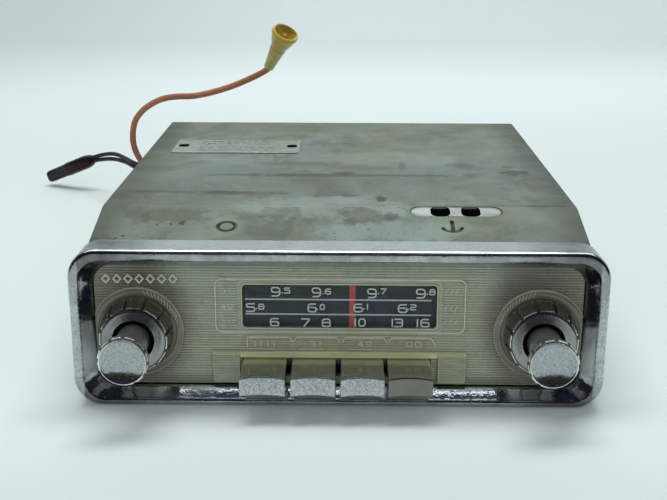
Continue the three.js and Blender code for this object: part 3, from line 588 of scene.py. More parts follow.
def aged_nylon():
    """Yellowed nylon, deeper on the plug's head and browned at its rim."""
    mat = Material("aged_nylon")
    cloud = mat.noise(120)
    z = mat.xyz()[2]
    head = mat.step(z, (0.0985, 0.1005))
    color = mat.mix(mat.step(cloud, (0.35, 0.65)),
                    mat.mix(head, (0.36, 0.30, 0.075), (0.40, 0.27, 0.035)),
                    mat.mix(head, (0.43, 0.37, 0.12), (0.46, 0.33, 0.06)))
    rim = mat.times(mat.step(z, (0.1062, 0.1075)), mat.patches(180, (0.42, 0.58), detail=3))
    color = mat.mix(rim, color, (0.13, 0.075, 0.015), amount=0.6)
    return mat.build(color=color, rough=0.3, coat=0.3, sss=0.45, sss_radius=(1.0, 0.7, 0.2),
                     sss_scale=0.003, normal=mat.bump(mat.noise(500, detail=3), 0.1, 0.0001))


MAT = {
    "bezel": chrome("bezel_chrome", (0.68, 0.695, 0.71), rough=0.075, pit=0.8, dull=0.13,
                    wave=0.0002, rubbed_and_shaded=True),
    "key_face": satin("key_pitted_chrome", (0.56, 0.59, 0.58), rough=0.24, grain=1500,
                      amount=0.95, dark=(0.05, 0.05, 0.045), low=0.62),
    "key_dark": chrome("key_smooth_chrome", (0.205, 0.20, 0.175), rough=0.16, pit=0.15, dull=0.1),
    "key_body": chrome("key_top_chrome", (0.56, 0.56, 0.54), rough=0.12, pit=0.35, dull=0.1),
    # painted highlight: a bright copy of the chrome for the keys' top front edges
    "key_edge": chrome("key_edge_chrome", (0.95, 0.96, 0.94), rough=0.34, pit=0.6, dull=0.05),
    "knob_face": chrome("knob_face_chrome", (0.325, 0.34, 0.345), rough=0.10, pit=0.9, dull=0.05,
                        pit_scale=2100, wave=0.00008, mottle=0.6),
    "knob": chrome("knob_chrome", (0.52, 0.51, 0.49), rough=0.22, pit=0.6, dull=0.16, metal=0.91),
    "ring": chrome("ring_knob_metal", (0.31, 0.315, 0.305), rough=0.22, pit=0.5, dull=0.16),
    # painted highlight: a bright copy of the chrome for the knob rims
    "bead": chrome("knob_bead_chrome", (0.78, 0.79, 0.78), rough=0.12, pit=0.9, dull=0.1),
    "lid": lid_sheet(),
    "sheet": casing_sheet(),
    "nameplate": nameplate_metal(),
    "strip": strip_metal(),
    "fascia": fascia_acrylic(),
    "fascia_relief": acrylic("olive_acrylic_relief", (0.50, 0.51, 0.40)),
    "fascia_arc": acrylic("olive_acrylic_arc", (0.34, 0.34, 0.24)),
    "fascia_tick": acrylic("olive_acrylic_tick", (0.33, 0.32, 0.21)),
    "boss_dome": acrylic("dark_acrylic_dome", (0.052, 0.050, 0.036), rough=0.16, coat=0.8),
    "fascia_frame": acrylic("olive_acrylic_frame", (0.27, 0.29, 0.205)),
    # painted shade: a darker copy of the panel's olive, carrying on its dim round the spindles
    "fascia_boss": acrylic("olive_acrylic_boss", (0.125, 0.125, 0.088), rough=0.22, coat=0.6),
    # the ledge: a light copy for its upper faces (painted highlight) and a darker copy with a
    # painted glow for its lower faces (painted shade and painted light)
    "ledge": acrylic("ledge_acrylic", (0.47, 0.49, 0.285), rough=0.16, coat=0.7, sss=0.3),
    "ledge_low": acrylic("ledge_low_acrylic", (0.36, 0.37, 0.20), rough=0.25, sss=0.3, glow=0.3),
    "dial": dial_print(),
    "glass": window_clear(),
    "print": plastic("dial_figure_print", (0.47, 0.49, 0.46), rough=0.5, scale=900, var=0.12),
    "line": plastic("dial_line_print", (0.36, 0.39, 0.39), rough=0.5, scale=900, var=0.12),
    "red": plastic("pointer_red", (0.66, 0.075, 0.06), rough=0.4, scale=400, var=0.15),
    "steel": satin("zinc_plated_steel", (0.52, 0.53, 0.52), rough=0.34, grain=500, amount=0.35),
    "dark_steel": satin("dull_screw_steel", (0.30, 0.31, 0.28), rough=0.42, grain=700, amount=0.5),
    "bright": satin("bright_tin", (0.68, 0.69, 0.67), rough=0.3, grain=500, amount=0.3),
    "brass": satin("machined_brass", (0.62, 0.46, 0.22), rough=0.28, grain=600, amount=0.3,
                   dark=(0.2, 0.13, 0.05)),
    "black": plastic("black_plastic", (0.010, 0.011, 0.014), rough=0.34, scale=500, var=0.3,
                     spec=0.22),
    "void": unlit_inside(),
    "darkred": plastic("dark_red_plastic", (0.030, 0.0035, 0.007), rough=0.34, scale=500,
                       var=0.4, spec=0.2),
    "rubber": plastic("aged_rubber", (0.035, 0.033, 0.03), rough=0.7, scale=700, var=0.4),
    "wire": plastic("wire_jacket", (0.020, 0.014, 0.018), rough=0.42, scale=900, var=0.4,
                    spec=0.25),
    "board": plastic("phenolic_board", (0.20, 0.11, 0.045), rough=0.5, scale=300, var=0.35),
    "ferrite": plastic("ferrite", (0.035, 0.033, 0.033), rough=0.6, scale=700, var=0.3),
    "cord": plastic("braided_cord", (0.55, 0.50, 0.38), rough=0.85, scale=2500, var=0.4),
    "coax": coax_jacket(),
    "nylon": aged_nylon(),
}


# ---------------------------------------------------------------- mesh tools
# A "geo" is a pair (verts in working millimetres, faces).
def new_object(name, geo):
    verts, faces = geo
    mesh = bpy.data.meshes.new(name)
    mesh.from_pydata([metres(*v) for v in verts], [], faces)
    bm = bmesh.new()
    bm.from_mesh(mesh)
    bmesh.ops.remove_doubles(bm, verts=bm.verts, dist=1e-7)
    bmesh.ops.recalc_face_normals(bm, faces=bm.faces)
    bm.to_mesh(mesh)
    bm.free()
    obj = bpy.data.objects.new(name, mesh)
    SCENE.collection.objects.link(obj)
    return obj


def finish_shading(obj, angle):
    """Smooth shading, with edges sharper than angle (degrees) kept; 180 keeps none."""
    mesh = obj.data
    mesh.polygons.foreach_set("use_smooth", [True] * len(mesh.polygons))
    if angle < 180:
        mesh.set_sharp_from_angle(angle=math.radians(angle))
    mesh.update()


def add_mesh(name, geo, mats, body="chassis", replaces=(), angle=35):
    """An object with materials named in MAT, tied to its body and CAD node."""
    obj = new_object(name, geo)
    for key in mats.split():
        obj.data.materials.append(MAT[key])
    finish_shading(obj, angle)
    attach(obj, body)
    if replaces:
        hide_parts(*replaces)
    return obj


def add_fascia(name, geo, mats, angle=35):
    return add_mesh(name, geo, mats, angle=angle)


def apply_modifiers(obj):
    bpy.context.view_layer.update()
    graph = bpy.context.evaluated_depsgraph_get()
    mesh = bpy.data.meshes.new_from_object(obj.evaluated_get(graph), depsgraph=graph)
    old = obj.data
    obj.modifiers.clear()
    obj.data = mesh
    bpy.data.meshes.remove(old)


def cut(obj, geos, angle):
    """Cuts the closed geos out of obj and shades it again."""
    cutters = [new_object("cutter", geo) for geo in geos]
    for cutter in cutters:
        modifier = obj.modifiers.new("cut", "BOOLEAN")
        modifier.operation = "DIFFERENCE"
        modifier.object = cutter
        modifier.solver = "EXACT"
    apply_modifiers(obj)
    for cutter in cutters:
        mesh = cutter.data
        bpy.data.objects.remove(cutter)
        bpy.data.meshes.remove(mesh)
    finish_shading(obj, angle)


def add_bevel(obj, width, angle):
    modifier = obj.modifiers.new("edge", "BEVEL")
    modifier.width = width * MM
    modifier.segments = 2
    modifier.limit_method = "ANGLE"
    modifier.angle_limit = math.radians(angle)
    return modifier


def weight_normals(obj, name="normals"):
    modifier = obj.modifiers.new(name, "WEIGHTED_NORMAL")
    modifier.keep_sharp = True
    return modifier


def paint(obj, choose):
    """Gives each face the material index that choose(face) returns."""
    for face in obj.data.polygons:
        face.material_index = choose(face)


def paint_round(obj, axis, front, choose):
    """As paint, with choose(radius from the axis, depth behind the front)."""
    def by_radius(face):
        x, y, z = mm_of(face.center)
        return choose(math.hypot(x - axis[0], z - axis[1]), y - front)
    paint(obj, by_radius)


def box_geo(x0, x1, y0, y1, z0, z1):
    verts = [(x, y, z) for x in (x0, x1) for y in (y0, y1) for z in (z0, z1)]
    return verts, [(0, 1, 3, 2), (4, 6, 7, 5), (0, 4, 5, 1), (2, 3, 7, 6), (0, 2, 6, 4),
                   (1, 5, 7, 3)]


def join_geo(geos):
    verts, faces = [], []
    for part_verts, part_faces in geos:
        start = len(verts)
        verts += part_verts
        faces += [tuple(i + start for i in face) for face in part_faces]
    return verts, faces


def around(count):
    """(cos, sin) at even steps round a full turn."""
    angles = [2 * math.pi * k / count for k in range(count)]
    return [(math.cos(a), math.sin(a)) for a in angles]


def rounded_rect(x0, x1, z0, z1, radius, steps=8):
    """Points anticlockwise seen from the front; steps to each corner."""
    corners = ((x1 - radius, z1 - radius, 0), (x0 + radius, z1 - radius, 90),
               (x0 + radius, z0 + radius, 180), (x1 - radius, z0 + radius, 270))
    points = []
    for cx, cz, start in corners:
        for i in range(steps + 1):
            a = math.radians(start + 90 * i / steps)
            points.append((cx + radius * math.cos(a), cz + radius * math.sin(a)))
    return points


def loft(rings, close_first=True, close_last=True, loop=False):
    """Joins rings of equal length; loop joins the last to the first."""
    count, total = len(rings[0]), len(rings)
    verts = [point for ring in rings for point in ring]
    faces = []
    for k in range(total if loop else total - 1):
        here, there = k * count, ((k + 1) % total) * count
        for i in range(count):
            j = (i + 1) % count
            faces.append((here + i, here + j, there + j, there + i))
    if not loop:
        if close_first:
            faces.append(tuple(range(count)))
        if close_last:
            faces.append(tuple((total - 1) * count + i for i in range(count)))
    return verts, faces


def prism_y(points, y0, y1):
    return loft([[(x, y, z) for x, z in points] for y in (y0, y1)])


def prism_z(points, z0, z1):
    return loft([[(x, y, z) for x, y in points] for z in (z0, z1)])


def lathe_y(profile, axis, seg, radial=None, closed=False):
    """Turns (radius, y) points about an axis along y; radial(k, theta, r, y) may shift them."""
    cx, cz = axis
    rings = []
    for k, (r, y) in enumerate(profile):
        ring = []
        for i in range(seg):
            theta = 2 * math.pi * i / seg
            rr, yy = radial(k, theta, r, y) if radial else (r, y)
            ring.append((cx + rr * math.cos(theta), yy, cz + rr * math.sin(theta)))
        rings.append(ring)
    return loft(rings, profile[0][0] >= 1e-6, profile[-1][0] >= 1e-6, closed)


def slab(rows, back):
    """A grid of front points closed by a flat back at y = back."""
    across, count = len(rows[0]), len(rows)
    verts = [point for row in rows for point in row]
    behind = len(verts)
    verts += [(x, back, z) for x, _, z in verts]
    corners = [k * across + i for k in range(count - 1) for i in range(across - 1)]
    quads = [(p, p + 1, p + across + 1, p + across) for p in corners]
    faces = quads + [tuple(behind + i for i in (a, d, c, b)) for a, b, c, d in quads]
    edge = list(range(across))
    edge += [k * across + across - 1 for k in range(1, count)]
    edge += [(count - 1) * across + i for i in range(across - 2, -1, -1)]
    edge += [k * across for k in range(count - 2, 0, -1)]
    for i, p in enumerate(edge):
        q = edge[(i + 1) % len(edge)]
        faces.append((p, behind + p, behind + q, q))
    return verts, faces


def fillet(points, radius, steps=5, closed=False):
    """Rounds the corners of a 2-D polyline."""
    rounded = []
    count = len(points)
    for i, point in enumerate(points):
        if not closed and i in (0, count - 1):
            rounded.append(tuple(point))
            continue
        corner = Vector(point)
        before = Vector(points[i - 1]) - corner
        after = Vector(points[(i + 1) % count]) - corner
        reach, reach_after = before.length, after.length
        if reach < 1e-6 or reach_after < 1e-6:
            rounded.append(tuple(point))
            continue
        before /= reach
        after /= reach_after
        angle = math.acos(max(-1, min(1, before.dot(after))))
        if angle > math.radians(172):
            rounded.append(tuple(point))
            continue
        trim = min(radius / math.tan(angle / 2), 0.49 * reach, 0.49 * reach_after)
        for k in range(steps + 1):
            s = k / steps
            rounded.append(tuple((corner + before * trim) * (1 - s) ** 2
                                 + corner * 2 * s * (1 - s) + (corner + after * trim) * s ** 2))
    return rounded


def stroke(points, width, front, back, closed=False, crown=0.0, cap=4):
    """A pen stroke along (x, z) points; crown rounds its front, cap is the steps of each end."""
    half = width / 2
    points = [Vector(p) for p in points]
    count = len(points)
    crest = [(-half * 0.6, front + crown * 0.25), (0, front), (half * 0.6, front + crown * 0.25)]
    section = [(-half, back), (-half, front + crown), *(crest if crown else []),
               (half, front + crown), (half, back)]

    def ring(point, direction, scale):
        nx, nz = -direction.y, direction.x
        return [(point.x + nx * s * scale, y, point.y + nz * s * scale) for s, y in section]

    def end(point, direction, sign):
        rings = []
        for j in range(1, cap + 1):
            a = math.pi / 2 * j / (cap + 0.6)
            rings.append(ring(point + direction * sign * half * math.sin(a), direction,
                              math.cos(a)))
        return rings

    rings = []
    for i, point in enumerate(points):
        before = points[(i - 1) % count] if (closed or i > 0) else point
        after = points[(i + 1) % count] if (closed or i < count - 1) else point
        inward, outward = point - before, after - point
        if inward.length < 1e-9:
            inward = outward
        if outward.length < 1e-9:
            outward = inward
        inward, outward = inward.normalized(), outward.normalized()
        tangent = (inward + outward).normalized()
        rings.append(ring(point, tangent, 1 / max(0.5, tangent.dot(inward))))
    if not closed:
        first = (points[1] - points[0]).normalized()
        last = (points[-1] - points[-2]).normalized()
        rings = end(points[0], first, -1)[::-1] + rings + end(points[-1], last, 1)
    return loft(rings, loop=closed)


def catmull(points, steps):
    """A uniform Catmull-Rom curve, evenly spaced along its length as in the CAD sweeps."""
    knots = [Vector(q) for q in points]
    count = len(knots)
    samples = 800

    def at(t):
        x = t * (count - 1)
        i = min(int(x), count - 2)
        w = x - i
        p0 = knots[i - 1] if i > 0 else knots[0] * 2 - knots[1]
        p1, p2 = knots[i], knots[i + 1]
        p3 = knots[i + 2] if i + 2 < count else knots[-1] * 2 - knots[-2]
        t0, t1 = (p2 - p0) * 0.5, (p3 - p1) * 0.5
        return ((2 * p1 - 2 * p2 + t0 + t1) * w**3
                + (-3 * p1 + 3 * p2 - 2 * t0 - t1) * w**2 + t0 * w + p1)

    fine = [at(i / samples) for i in range(samples + 1)]
    run = [0.0]
    for a, b in zip(fine, fine[1:]):
        run.append(run[-1] + (b - a).length)
    path = []
    for k in range(steps + 1):
        goal = run[-1] * k / steps
        path.append(fine[next((j for j, length in enumerate(run) if length >= goal), samples)])
    return path


def tube(path, radius, seg):
    """A closed round tube with a frame carried along the path."""
    rings = []
    normal = (path[1] - path[0]).normalized().orthogonal().normalized()
    for i, point in enumerate(path):
        tangent = (path[min(len(path) - 1, i + 1)] - path[max(0, i - 1)]).normalized()
        normal = (normal - tangent * normal.dot(tangent)).normalized()
        binormal = tangent.cross(normal)
        rings.append([tuple(point + (normal * c + binormal * s) * radius) for c, s in around(seg)])
    return loft(rings)


# ---------------------------------------------------------------- bezel
def build_bezel():
    (x0, _, z0), (x1, _, z1) = box_mm("bezel")
    corner = 10.0
    # stations: inset at the sides, the bottom and the top, the y and the corner radius
    stations = [(0.0, 0.0, 0.0, 0.0, corner), (0.0, 0.0, 0.0, -11.46, corner)]
    # outer front edge as (degrees, length): a slow roll-off, a quick turn, a slow run inwards
    turns = [(0, 0.3), (3, 0.3), (8, 0.35), (11, 0.5), (14, 0.3)]
    turns += [(20 + 6.5 * k, 0.142) for k in range(11)]
    inset, y = 0.0, -11.45
    for degrees, length in turns:
        angle = math.radians(degrees)
        inset += length * math.sin(angle)
        y -= length * math.cos(angle)
        stations.append((inset, inset, inset, max(y, -13.99), corner - 0.45 * inset))
    stations += [
        (1.5, 1.42, 1.5, -14.0, 9.3), (2.0, 1.72, 2.05, -13.98, 9.0),
        (2.6, 2.02, 2.7, -13.89, 8.6), (3.15, 2.3, 3.3, -13.78, 8.3),
        (3.42, 2.48, 3.6, -13.64, 8.1), (3.55, 2.6, 3.74, -13.46, 8.0),
    ]
    # slightly bellied bevel from the rim to the opening
    rim, opening = (3.62, 2.68, 3.8), (7.7, 5.9, 6.4)
    for t in (0.05, 0.14, 0.26, 0.4, 0.55, 0.7, 0.84, 0.95, 1.0):
        belly = 1 - (1 - t) ** 1.18
        insets = [a + (b - a) * belly for a, b in zip(rim, opening)]
        stations.append((*insets, -13.3 + 4.3 * t, 7.9 - 0.9 * t))
    stations += [(*opening, -8.6, 7.0), (*opening, 0.0, 7.0)]
    rings = [
        [(x, y, z) for x, z in
         rounded_rect(x0 + side, x1 - side, z0 + low, z1 - top, radius, steps=20)]
        for side, low, top, y, radius in stations
    ]
    frame_obj = add_mesh("bezel_frame", loft(rings, loop=True), "bezel",
                         replaces=("bezel",), angle=40)
    weight_normals(frame_obj)


build_bezel()

# ---------------------------------------------------------------- fascia
FASCIA_FRONT = -8.0
ROOT = -7.9  # y where the raised parts of the fascia start
CUT_Y = (-12, -3)  # reach of the cutters through the panel
RIB_DEPTH = 0.26
PANEL_CORNER = 6.7
WINDOW = (-34.6, 35.3, 27.8, 45.0, 1.8)  # x0, x1, z0, z1, corner radius
# one rib: share of the pitch, share of the depth
RIB_PROFILE = ((0.0, 0.0), (0.14, 0.9), (0.34, 1.0), (0.56, 0.95), (0.78, 0.3))


def build_fascia():
    (_, _, z0), (x1, _, z1) = box_mm("fascia_panel")
    levels = []
    z = z0
    while z < z1 - 1e-6:
        for share, rise in RIB_PROFILE:
            level = z + share * RIB_PITCH
            if level < z1:
                levels.append((level, FASCIA_FRONT + RIB_DEPTH * (1 - rise)))
        z += RIB_PITCH
    levels.append((z1, FASCIA_FRONT + RIB_DEPTH))

    def half_width(level):
        edge = min(level - z0, z1 - level)
        if edge >= PANEL_CORNER:
            return x1
        rest = PANEL_CORNER**2 - (PANEL_CORNER - edge) ** 2
        return (x1 - PANEL_CORNER) + math.sqrt(max(0.0, rest))

    columns = 40
    rows = []
    for level, y in levels:
        half = half_width(level)
        rows.append([(-half + 2 * half * i / columns, y, level) for i in range(columns + 1)])
    panel = add_mesh("fascia_ribbed_panel", slab(rows, -5.5), "fascia",
                     replaces=("fascia_panel",), angle=180)
    spindle_hole = [(6.2, y) for y in CUT_Y]
    cut(panel, [
        prism_y(rounded_rect(*WINDOW, steps=6), *CUT_Y),
        box_geo(-34.6, 33.3, *CUT_Y, 9.7, 17.35),
        lathe_y(spindle_hole, LEFT_SPINDLE, 48),
        lathe_y(spindle_hole, RIGHT_SPINDLE, 48),
    ], angle=28)


build_fascia()

# radius, y
BOSS_PROFILE = [
    (6.4, -7.9), (6.4, -9.1), (12.2, -9.1), (13.2, -8.95), (13.55, -8.75), (13.75, -8.75),
    (14.0, -8.95), (14.3, -9.02), (15.6, -8.95), (15.95, -8.8), (16.05, -8.8), (16.15, -9.1),
    (16.3, -9.2), (16.45, -9.1), (16.6, -8.6), (16.6, -7.9),
]


def build_boss(name, axis, side):
    """A stepped boss round a spindle, with a hatched sector; side is 1 left, -1 right."""
    cx, cz = axis
    (_, _, z_min), (x_max, _, _) = box_mm("fascia_panel")
    z_min, x_max = z_min + 0.02, x_max - 0.02
    verts, faces = lathe_y(BOSS_PROFILE, axis, 144, closed=True)
    verts = [(max(-x_max, min(x_max, x)), y, max(z_min, z)) for x, y, z in verts]
    boss = add_fascia(name, (verts, faces), "fascia_boss boss_dome fascia_arc", angle=30)
    # the part under the ring knob is dark; the outer edge band takes the lighter arc acrylic:
    # painted highlight
    paint_round(boss, axis, 0.0, lambda r, _: 1 if r < 13.6 else (2 if r > 16.0 else 0))
    hatch = []
    for i in range(13):
        inner = math.radians(90 - side * (14 + i * 5.2))
        outer = inner + math.radians(5.0) * side
        ends = [(cx + r * math.cos(a), cz + r * math.sin(a))
                for r, a in ((14.25, inner), (15.6, outer))]
        hatch.append(stroke(ends, 0.34, -9.16, -8.8, crown=0.06, cap=3))
    add_fascia(name + "_hatch", join_geo(hatch), "fascia_tick", angle=40)


build_boss("spindle_boss_left", LEFT_SPINDLE, 1)
build_boss("spindle_boss_right", RIGHT_SPINDLE, -1)


def build_dial_surround():
    outline = rounded_rect(-43.7, 44.8, 26.6, 46.5, 2.4)
    add_fascia("dial_surround_outline",
               stroke(outline, 0.62, -8.6, ROOT, closed=True, crown=0.25), "fascia_relief")
    # plain raised band between the outline and the window
    outer = rounded_rect(-36.0, 36.9, 26.9, 46.2, 1.4)
    inner = rounded_rect(-34.45, 35.15, 27.95, 44.85, 1.5)
    rings = [
        [(x, ROOT, z) for x, z in outer],
        [(x, -8.28, z) for x, z in outer],
        [(x * 0.998, -8.36, z) for x, z in outer],
        [(x, -8.36, z) for x, z in rounded_rect(-34.9, 35.6, 27.5, 45.3, 1.7)],
        [(x, -8.2, z) for x, z in inner],
        [(x, ROOT, z) for x, z in inner],
    ]
    add_fascia("dial_surround_band", loft(rings, loop=True), "fascia_frame", angle=30)
    bead = rounded_rect(-34.35, 35.05, 28.15, 44.75, 1.6)
    add_fascia("dial_window_bead",
               stroke(bead, 0.42, -8.95, -8.3, closed=True, crown=0.18), "fascia_relief")


build_dial_surround()

# ---------------------------------------------------------------- dial
# Pen strokes of each figure in a unit square: (points, closed).
PEN = {
    "0": [([(0.12, 0), (0.88, 0), (0.88, 1), (0.12, 1)], True)],
    "1": [([(0.5, 0), (0.5, 1)], False)],
    "2": [([(0.02, 1), (1, 1), (1, 0.52), (0, 0.46), (0, 0), (1, 0)], False)],
    "3": [([(0.02, 1), (0.95, 1), (0.95, 0.52), (0.95, 0), (0, 0)], False),
          ([(0.25, 0.52), (0.9, 0.52)], False)],
    "4": [([(0.74, 0), (0.74, 1), (0, 0.3), (1, 0.3)], False)],
    "5": [([(0.95, 1), (0.03, 1), (0.03, 0.57), (1, 0.57), (1, 0), (0, 0)], False)],
    "6": [([(0.93, 1), (0.02, 1), (0.02, 0), (1, 0), (1, 0.56), (0.05, 0.56)], False)],
    "7": [([(0, 1), (1, 1), (0.3, 0)], False)],
    "8": [([(0.02, 0), (0.98, 0), (0.98, 0.52), (0.98, 0.54), (0.9, 1), (0.1, 1),
            (0.02, 0.54), (0.02, 0.52)], True),
          ([(0.1, 0.53), (0.9, 0.53)], False)],
    "9": [([(0.07, 0), (0.98, 0), (0.98, 1), (0, 1), (0, 0.44), (0.95, 0.44)], False)],
}


def figure(char, x, z, width, height, pen, front, back, crown=0.0):
    """The strokes of one figure whose lower left corner is at x, z."""
    radius = height * (0.06 if char in "147" else 0.36)
    geos = []
    for points, closed in PEN[char]:
        placed = [(x + pen / 2 + (width - pen) * u, z + pen / 2 + (height - pen) * t)
                  for u, t in points]
        geos.append(stroke(fillet(placed, radius, closed=closed), pen, front, back,
                           closed=closed, crown=crown, cap=3))
    return geos


# figure, x, z, width, height
LARGE_FIGURES = [
    ("9", -23.9, 40.15, 3.45, 3.6), ("9", -9.5, 40.0, 3.4, 3.65), ("9", 10.1, 39.75, 3.45, 3.65),
    ("9", 27.3, 39.75, 3.5, 3.65), ("5", -32.9, 34.3, 3.4, 3.3), ("6", -11.1, 34.3, 3.4, 3.35),
    ("6", 5.2, 34.4, 3.4, 3.3), ("6", 20.9, 34.3, 3.5, 3.3), ("6", -24.5, 28.9, 3.4, 3.2),
    ("7", -13.3, 28.8, 3.3, 3.2), ("8", -6.0, 28.8, 3.3, 3.2), ("1", 5.0, 29.0, 1.9, 3.1),
    ("0", 6.7, 29.0, 3.3, 3.15), ("1", 18.2, 28.9, 1.9, 3.2), ("3", 19.8, 28.9, 3.3, 3.2),
    ("1", 27.1, 28.9, 1.9, 3.2), ("6", 29.0, 28.9, 3.4, 3.2),
]
# figure, x, z; each follows a round point
SMALL_FIGURES = [
    ("5", -19.3, 41.3), ("6", -4.9, 41.0), ("7", 14.7, 41.2), ("8", 31.9, 41.0),
    ("8", -28.5, 35.2), ("0", -6.9, 35.2), ("1", 9.6, 35.4), ("2", 25.3, 35.3),
]
PRINT_Y = (-8.74, -8.58)


def build_scale():
    geos = []
    for row in LARGE_FIGURES:
        geos += figure(*row, 0.46, *PRINT_Y)
    for char, x, z in SMALL_FIGURES:
        geos += figure(char, x, z, 1.3 if char == "1" else 2.25, 2.25, 0.38, *PRINT_Y)
        geos.append(lathe_y([(0.26, y) for y in PRINT_Y], (x - 0.62, z + 0.3), 10))
    add_mesh("dial_scale_figures", join_geo(geos), "print", angle=40)
    lines = [stroke([(-32.9, z), (32.6, z - 0.15)], 0.5, *PRINT_Y, cap=2) for z in (39.15, 33.62)]
    add_mesh("dial_scale_lines", join_geo(lines), "line", angle=40)


build_scale()


def build_window_pane():
    pane = rounded_rect(-34.3, 35.0, 28.1, 44.7, 1.5)
    flange = rounded_rect(-36.1, 36.8, 26.9, 46.2, 1.5)
    edge, z_middle = 0.18, 36.4
    face = [(x - edge * (1 if x > 0 else -1), z - edge * (1 if z > z_middle else -1))
            for x, z in pane]
    stations = ((face, -8.58), (pane, -8.4), (pane, -6.5), (flange, -6.5), (flange, -5.6))
    rings = [[(x, y, z) for x, z in points] for points, y in stations]
    add_mesh("dial_window_pane", loft(rings), "glass",
             replaces=("dial_glass",), angle=30)


def build_dial_pan():
    """A shallow pan with its middle set back."""
    (x0, front, z0), (x1, back, z1) = box_mm("dial_backplate")
    rings = [
        [(x, y, z) for x, z in
         rounded_rect(x0 + inset, x1 - inset, z0 + inset, z1 - inset, 1.2, steps=6)]
        for inset, y in ((0, back), (0, front), (0.5, front), (0.5, front + 0.2))
    ]
    add_mesh("dial_back_pan", loft(rings), "dial",
             replaces=("dial_backplate",), angle=30)


def build_pointer():
    """A needle with a rounded front and an arm bent back over the top."""
    middle = mm_of(centre("pointer"))[0]
    (x0, _, _), (x1, back, _) = box_mm("pointer")
    half = (x1 - x0) / 2
    section = [(-half, 0.6), (-half, 0.18), (-half * 0.8, 0.03), (0, 0.0), (half * 0.8, 0.03),
               (half, 0.18), (half, 0.6)]
    path = [(-4.98, 27.5), (-4.98, 47.2), (-4.85, 47.8), (-4.5, 48.1), (-3.6, 48.15),
            (back, 48.15)]
    rings = []
    for i, (y, z) in enumerate(path):
        before, after = path[max(0, i - 1)], path[min(len(path) - 1, i + 1)]
        tangent = Vector((after[0] - before[0], after[1] - before[1])).normalized()
        rings.append([(middle + across, y + tangent.y * depth, z - tangent.x * depth)
                      for across, depth in section])
    add_mesh("pointer_needle", loft(rings), "red", body="pointer_car",
             replaces=("pointer",), angle=50)


build_window_pane()
build_dial_pan()
build_pointer()


# ---------------------------------------------------------------- marks and ledge
def build_key_brackets():
    """A line over each key, turned down at its ends, and a short line under three of them."""
    top = 24.6
    spans = [(-32.6, -17.6), (-15.0, -0.7), (2.5, 16.1), (19.0, 33.0)]
    geos = []
    for i, (left, right) in enumerate(spans):
        if i == 0:
            points = [(left, 21.0), (left, top - 0.2), (left + 0.3, top)]
        else:
            points = [(left - 1.1, 22.9), (left + 0.1, top)]
        points += [(right, top), (right + 1.2, 22.8) if i < 3 else (right + 1.9, 21.4)]
        geos.append(stroke(fillet(points, 0.6, steps=3), 0.55, -8.6, ROOT, crown=0.2, cap=3))
        if i < 3:
            geos.append(stroke([(left + 0.6, 20.1), (left + 9.5, 20.1)], 0.36, -8.5, ROOT,
                               crown=0.1, cap=3))
    add_fascia("key_bracket_lines", join_geo(geos), "fascia_relief", angle=40)


def build_raised_marks():
    geos = []
    # over the keys: four short bars, 31, 49 and two squares
    for k in range(4):
        x = -29.9 + 2.3 * k
        geos.append(stroke([(x, 21.2), (x, 22.9)], 0.5, -8.35, ROOT, crown=0.15, cap=3))
    for char, x in (("3", -10.1), ("1", -7.6), ("4", 6.9), ("9", 9.8)):
        geos += figure(char, x, 21.0, 2.1, 2.2, 0.42, -8.35, ROOT, crown=0.12)
    for x in (24.4, 27.6):
        square = rounded_rect(x, x + 1.9, 21.2, 23.0, 0.4, steps=3)
        geos.append(stroke(square, 0.4, -8.35, ROOT, closed=True, crown=0.12))
    # left of the window: 31, 49 and three dashes; right of it: slanted bars
    for char, x, z in (("3", -41.9, 40.9), ("1", -39.6, 40.9), ("4", -41.9, 35.1),
                       ("9", -39.4, 35.1)):
        geos += figure(char, x, z, 1.9, 2.1, 0.34, -8.3, ROOT, crown=0.1)
    for x in (-41.6, -39.6, -37.6):
        geos.append(stroke([(x, 30.9), (x + 1.0, 30.9)], 0.42, -8.3, ROOT, crown=0.1, cap=3))
    for z in (42.0, 36.1, 30.8):
        for x in (37.6, 39.5, 41.4):
            geos.append(stroke([(x, z - 0.7), (x + 0.7, z + 0.7)], 0.34, -8.3, ROOT,
                               crown=0.1, cap=3))
    add_fascia("fascia_raised_marks", join_geo(geos), "fascia_relief", angle=40)


def build_corner_ornament():
    """A row of seven lozenges in the upper left corner."""
    geos = []
    z, half_width, half_height = 46.3, 1.35, 1.5
    for k in range(7):
        x = -82.2 + 3.95 * k
        lozenge = [(x, z - half_height), (x + half_width, z), (x, z + half_height),
                   (x - half_width, z)]
        geos.append(stroke(lozenge, 0.58, -8.65, ROOT, closed=True, crown=0.2))
    add_fascia("fascia_corner_ornament", join_geo(geos), "fascia_relief", angle=40)


build_key_brackets()
build_raised_marks()
build_corner_ornament()

LEDGE_TOP = 19.4


def build_ledge():
    """Rounded lip over the keys, with shallow notches between neighbours."""
    section = [  # y, z
        (ROOT, 17.2), (-9.3, 17.2), (-9.58, 17.3), (-9.68, 17.55), (-9.68, 18.45),
        (-9.75, 18.75), (-9.6, 19.15), (-9.2, 19.35), (-8.7, LEDGE_TOP), (ROOT, LEDGE_TOP),
    ]
    xs = [-35.12, -35.0, -17.4, -17.25, -16.9, -16.75, -0.35, -0.2, 0.35, 0.5, 16.6, 16.75,
          17.05, 17.2, 35.4, 35.52]
    middle = 18.4
    rings = []
    for i, x in enumerate(xs):
        scale = 0.995 if i in (0, len(xs) - 1) else 1.0
        notch = 0.14 if i in (3, 4, 7, 8, 11, 12) else 0.0
        rings.append([(x, ROOT + (y - ROOT) * scale + (notch if y < -8 else 0),
                       middle + (z - middle) * scale) for y, z in section])
    ledge = add_fascia("key_ledge", loft(rings), "ledge ledge_low", angle=50)
    # lower faces: the darker glowing copy (painted shade and painted light); upper faces: the
    # light copy (painted highlight)
    paint(ledge, lambda face: 1 if face.center.z < 0.01845 else 0)


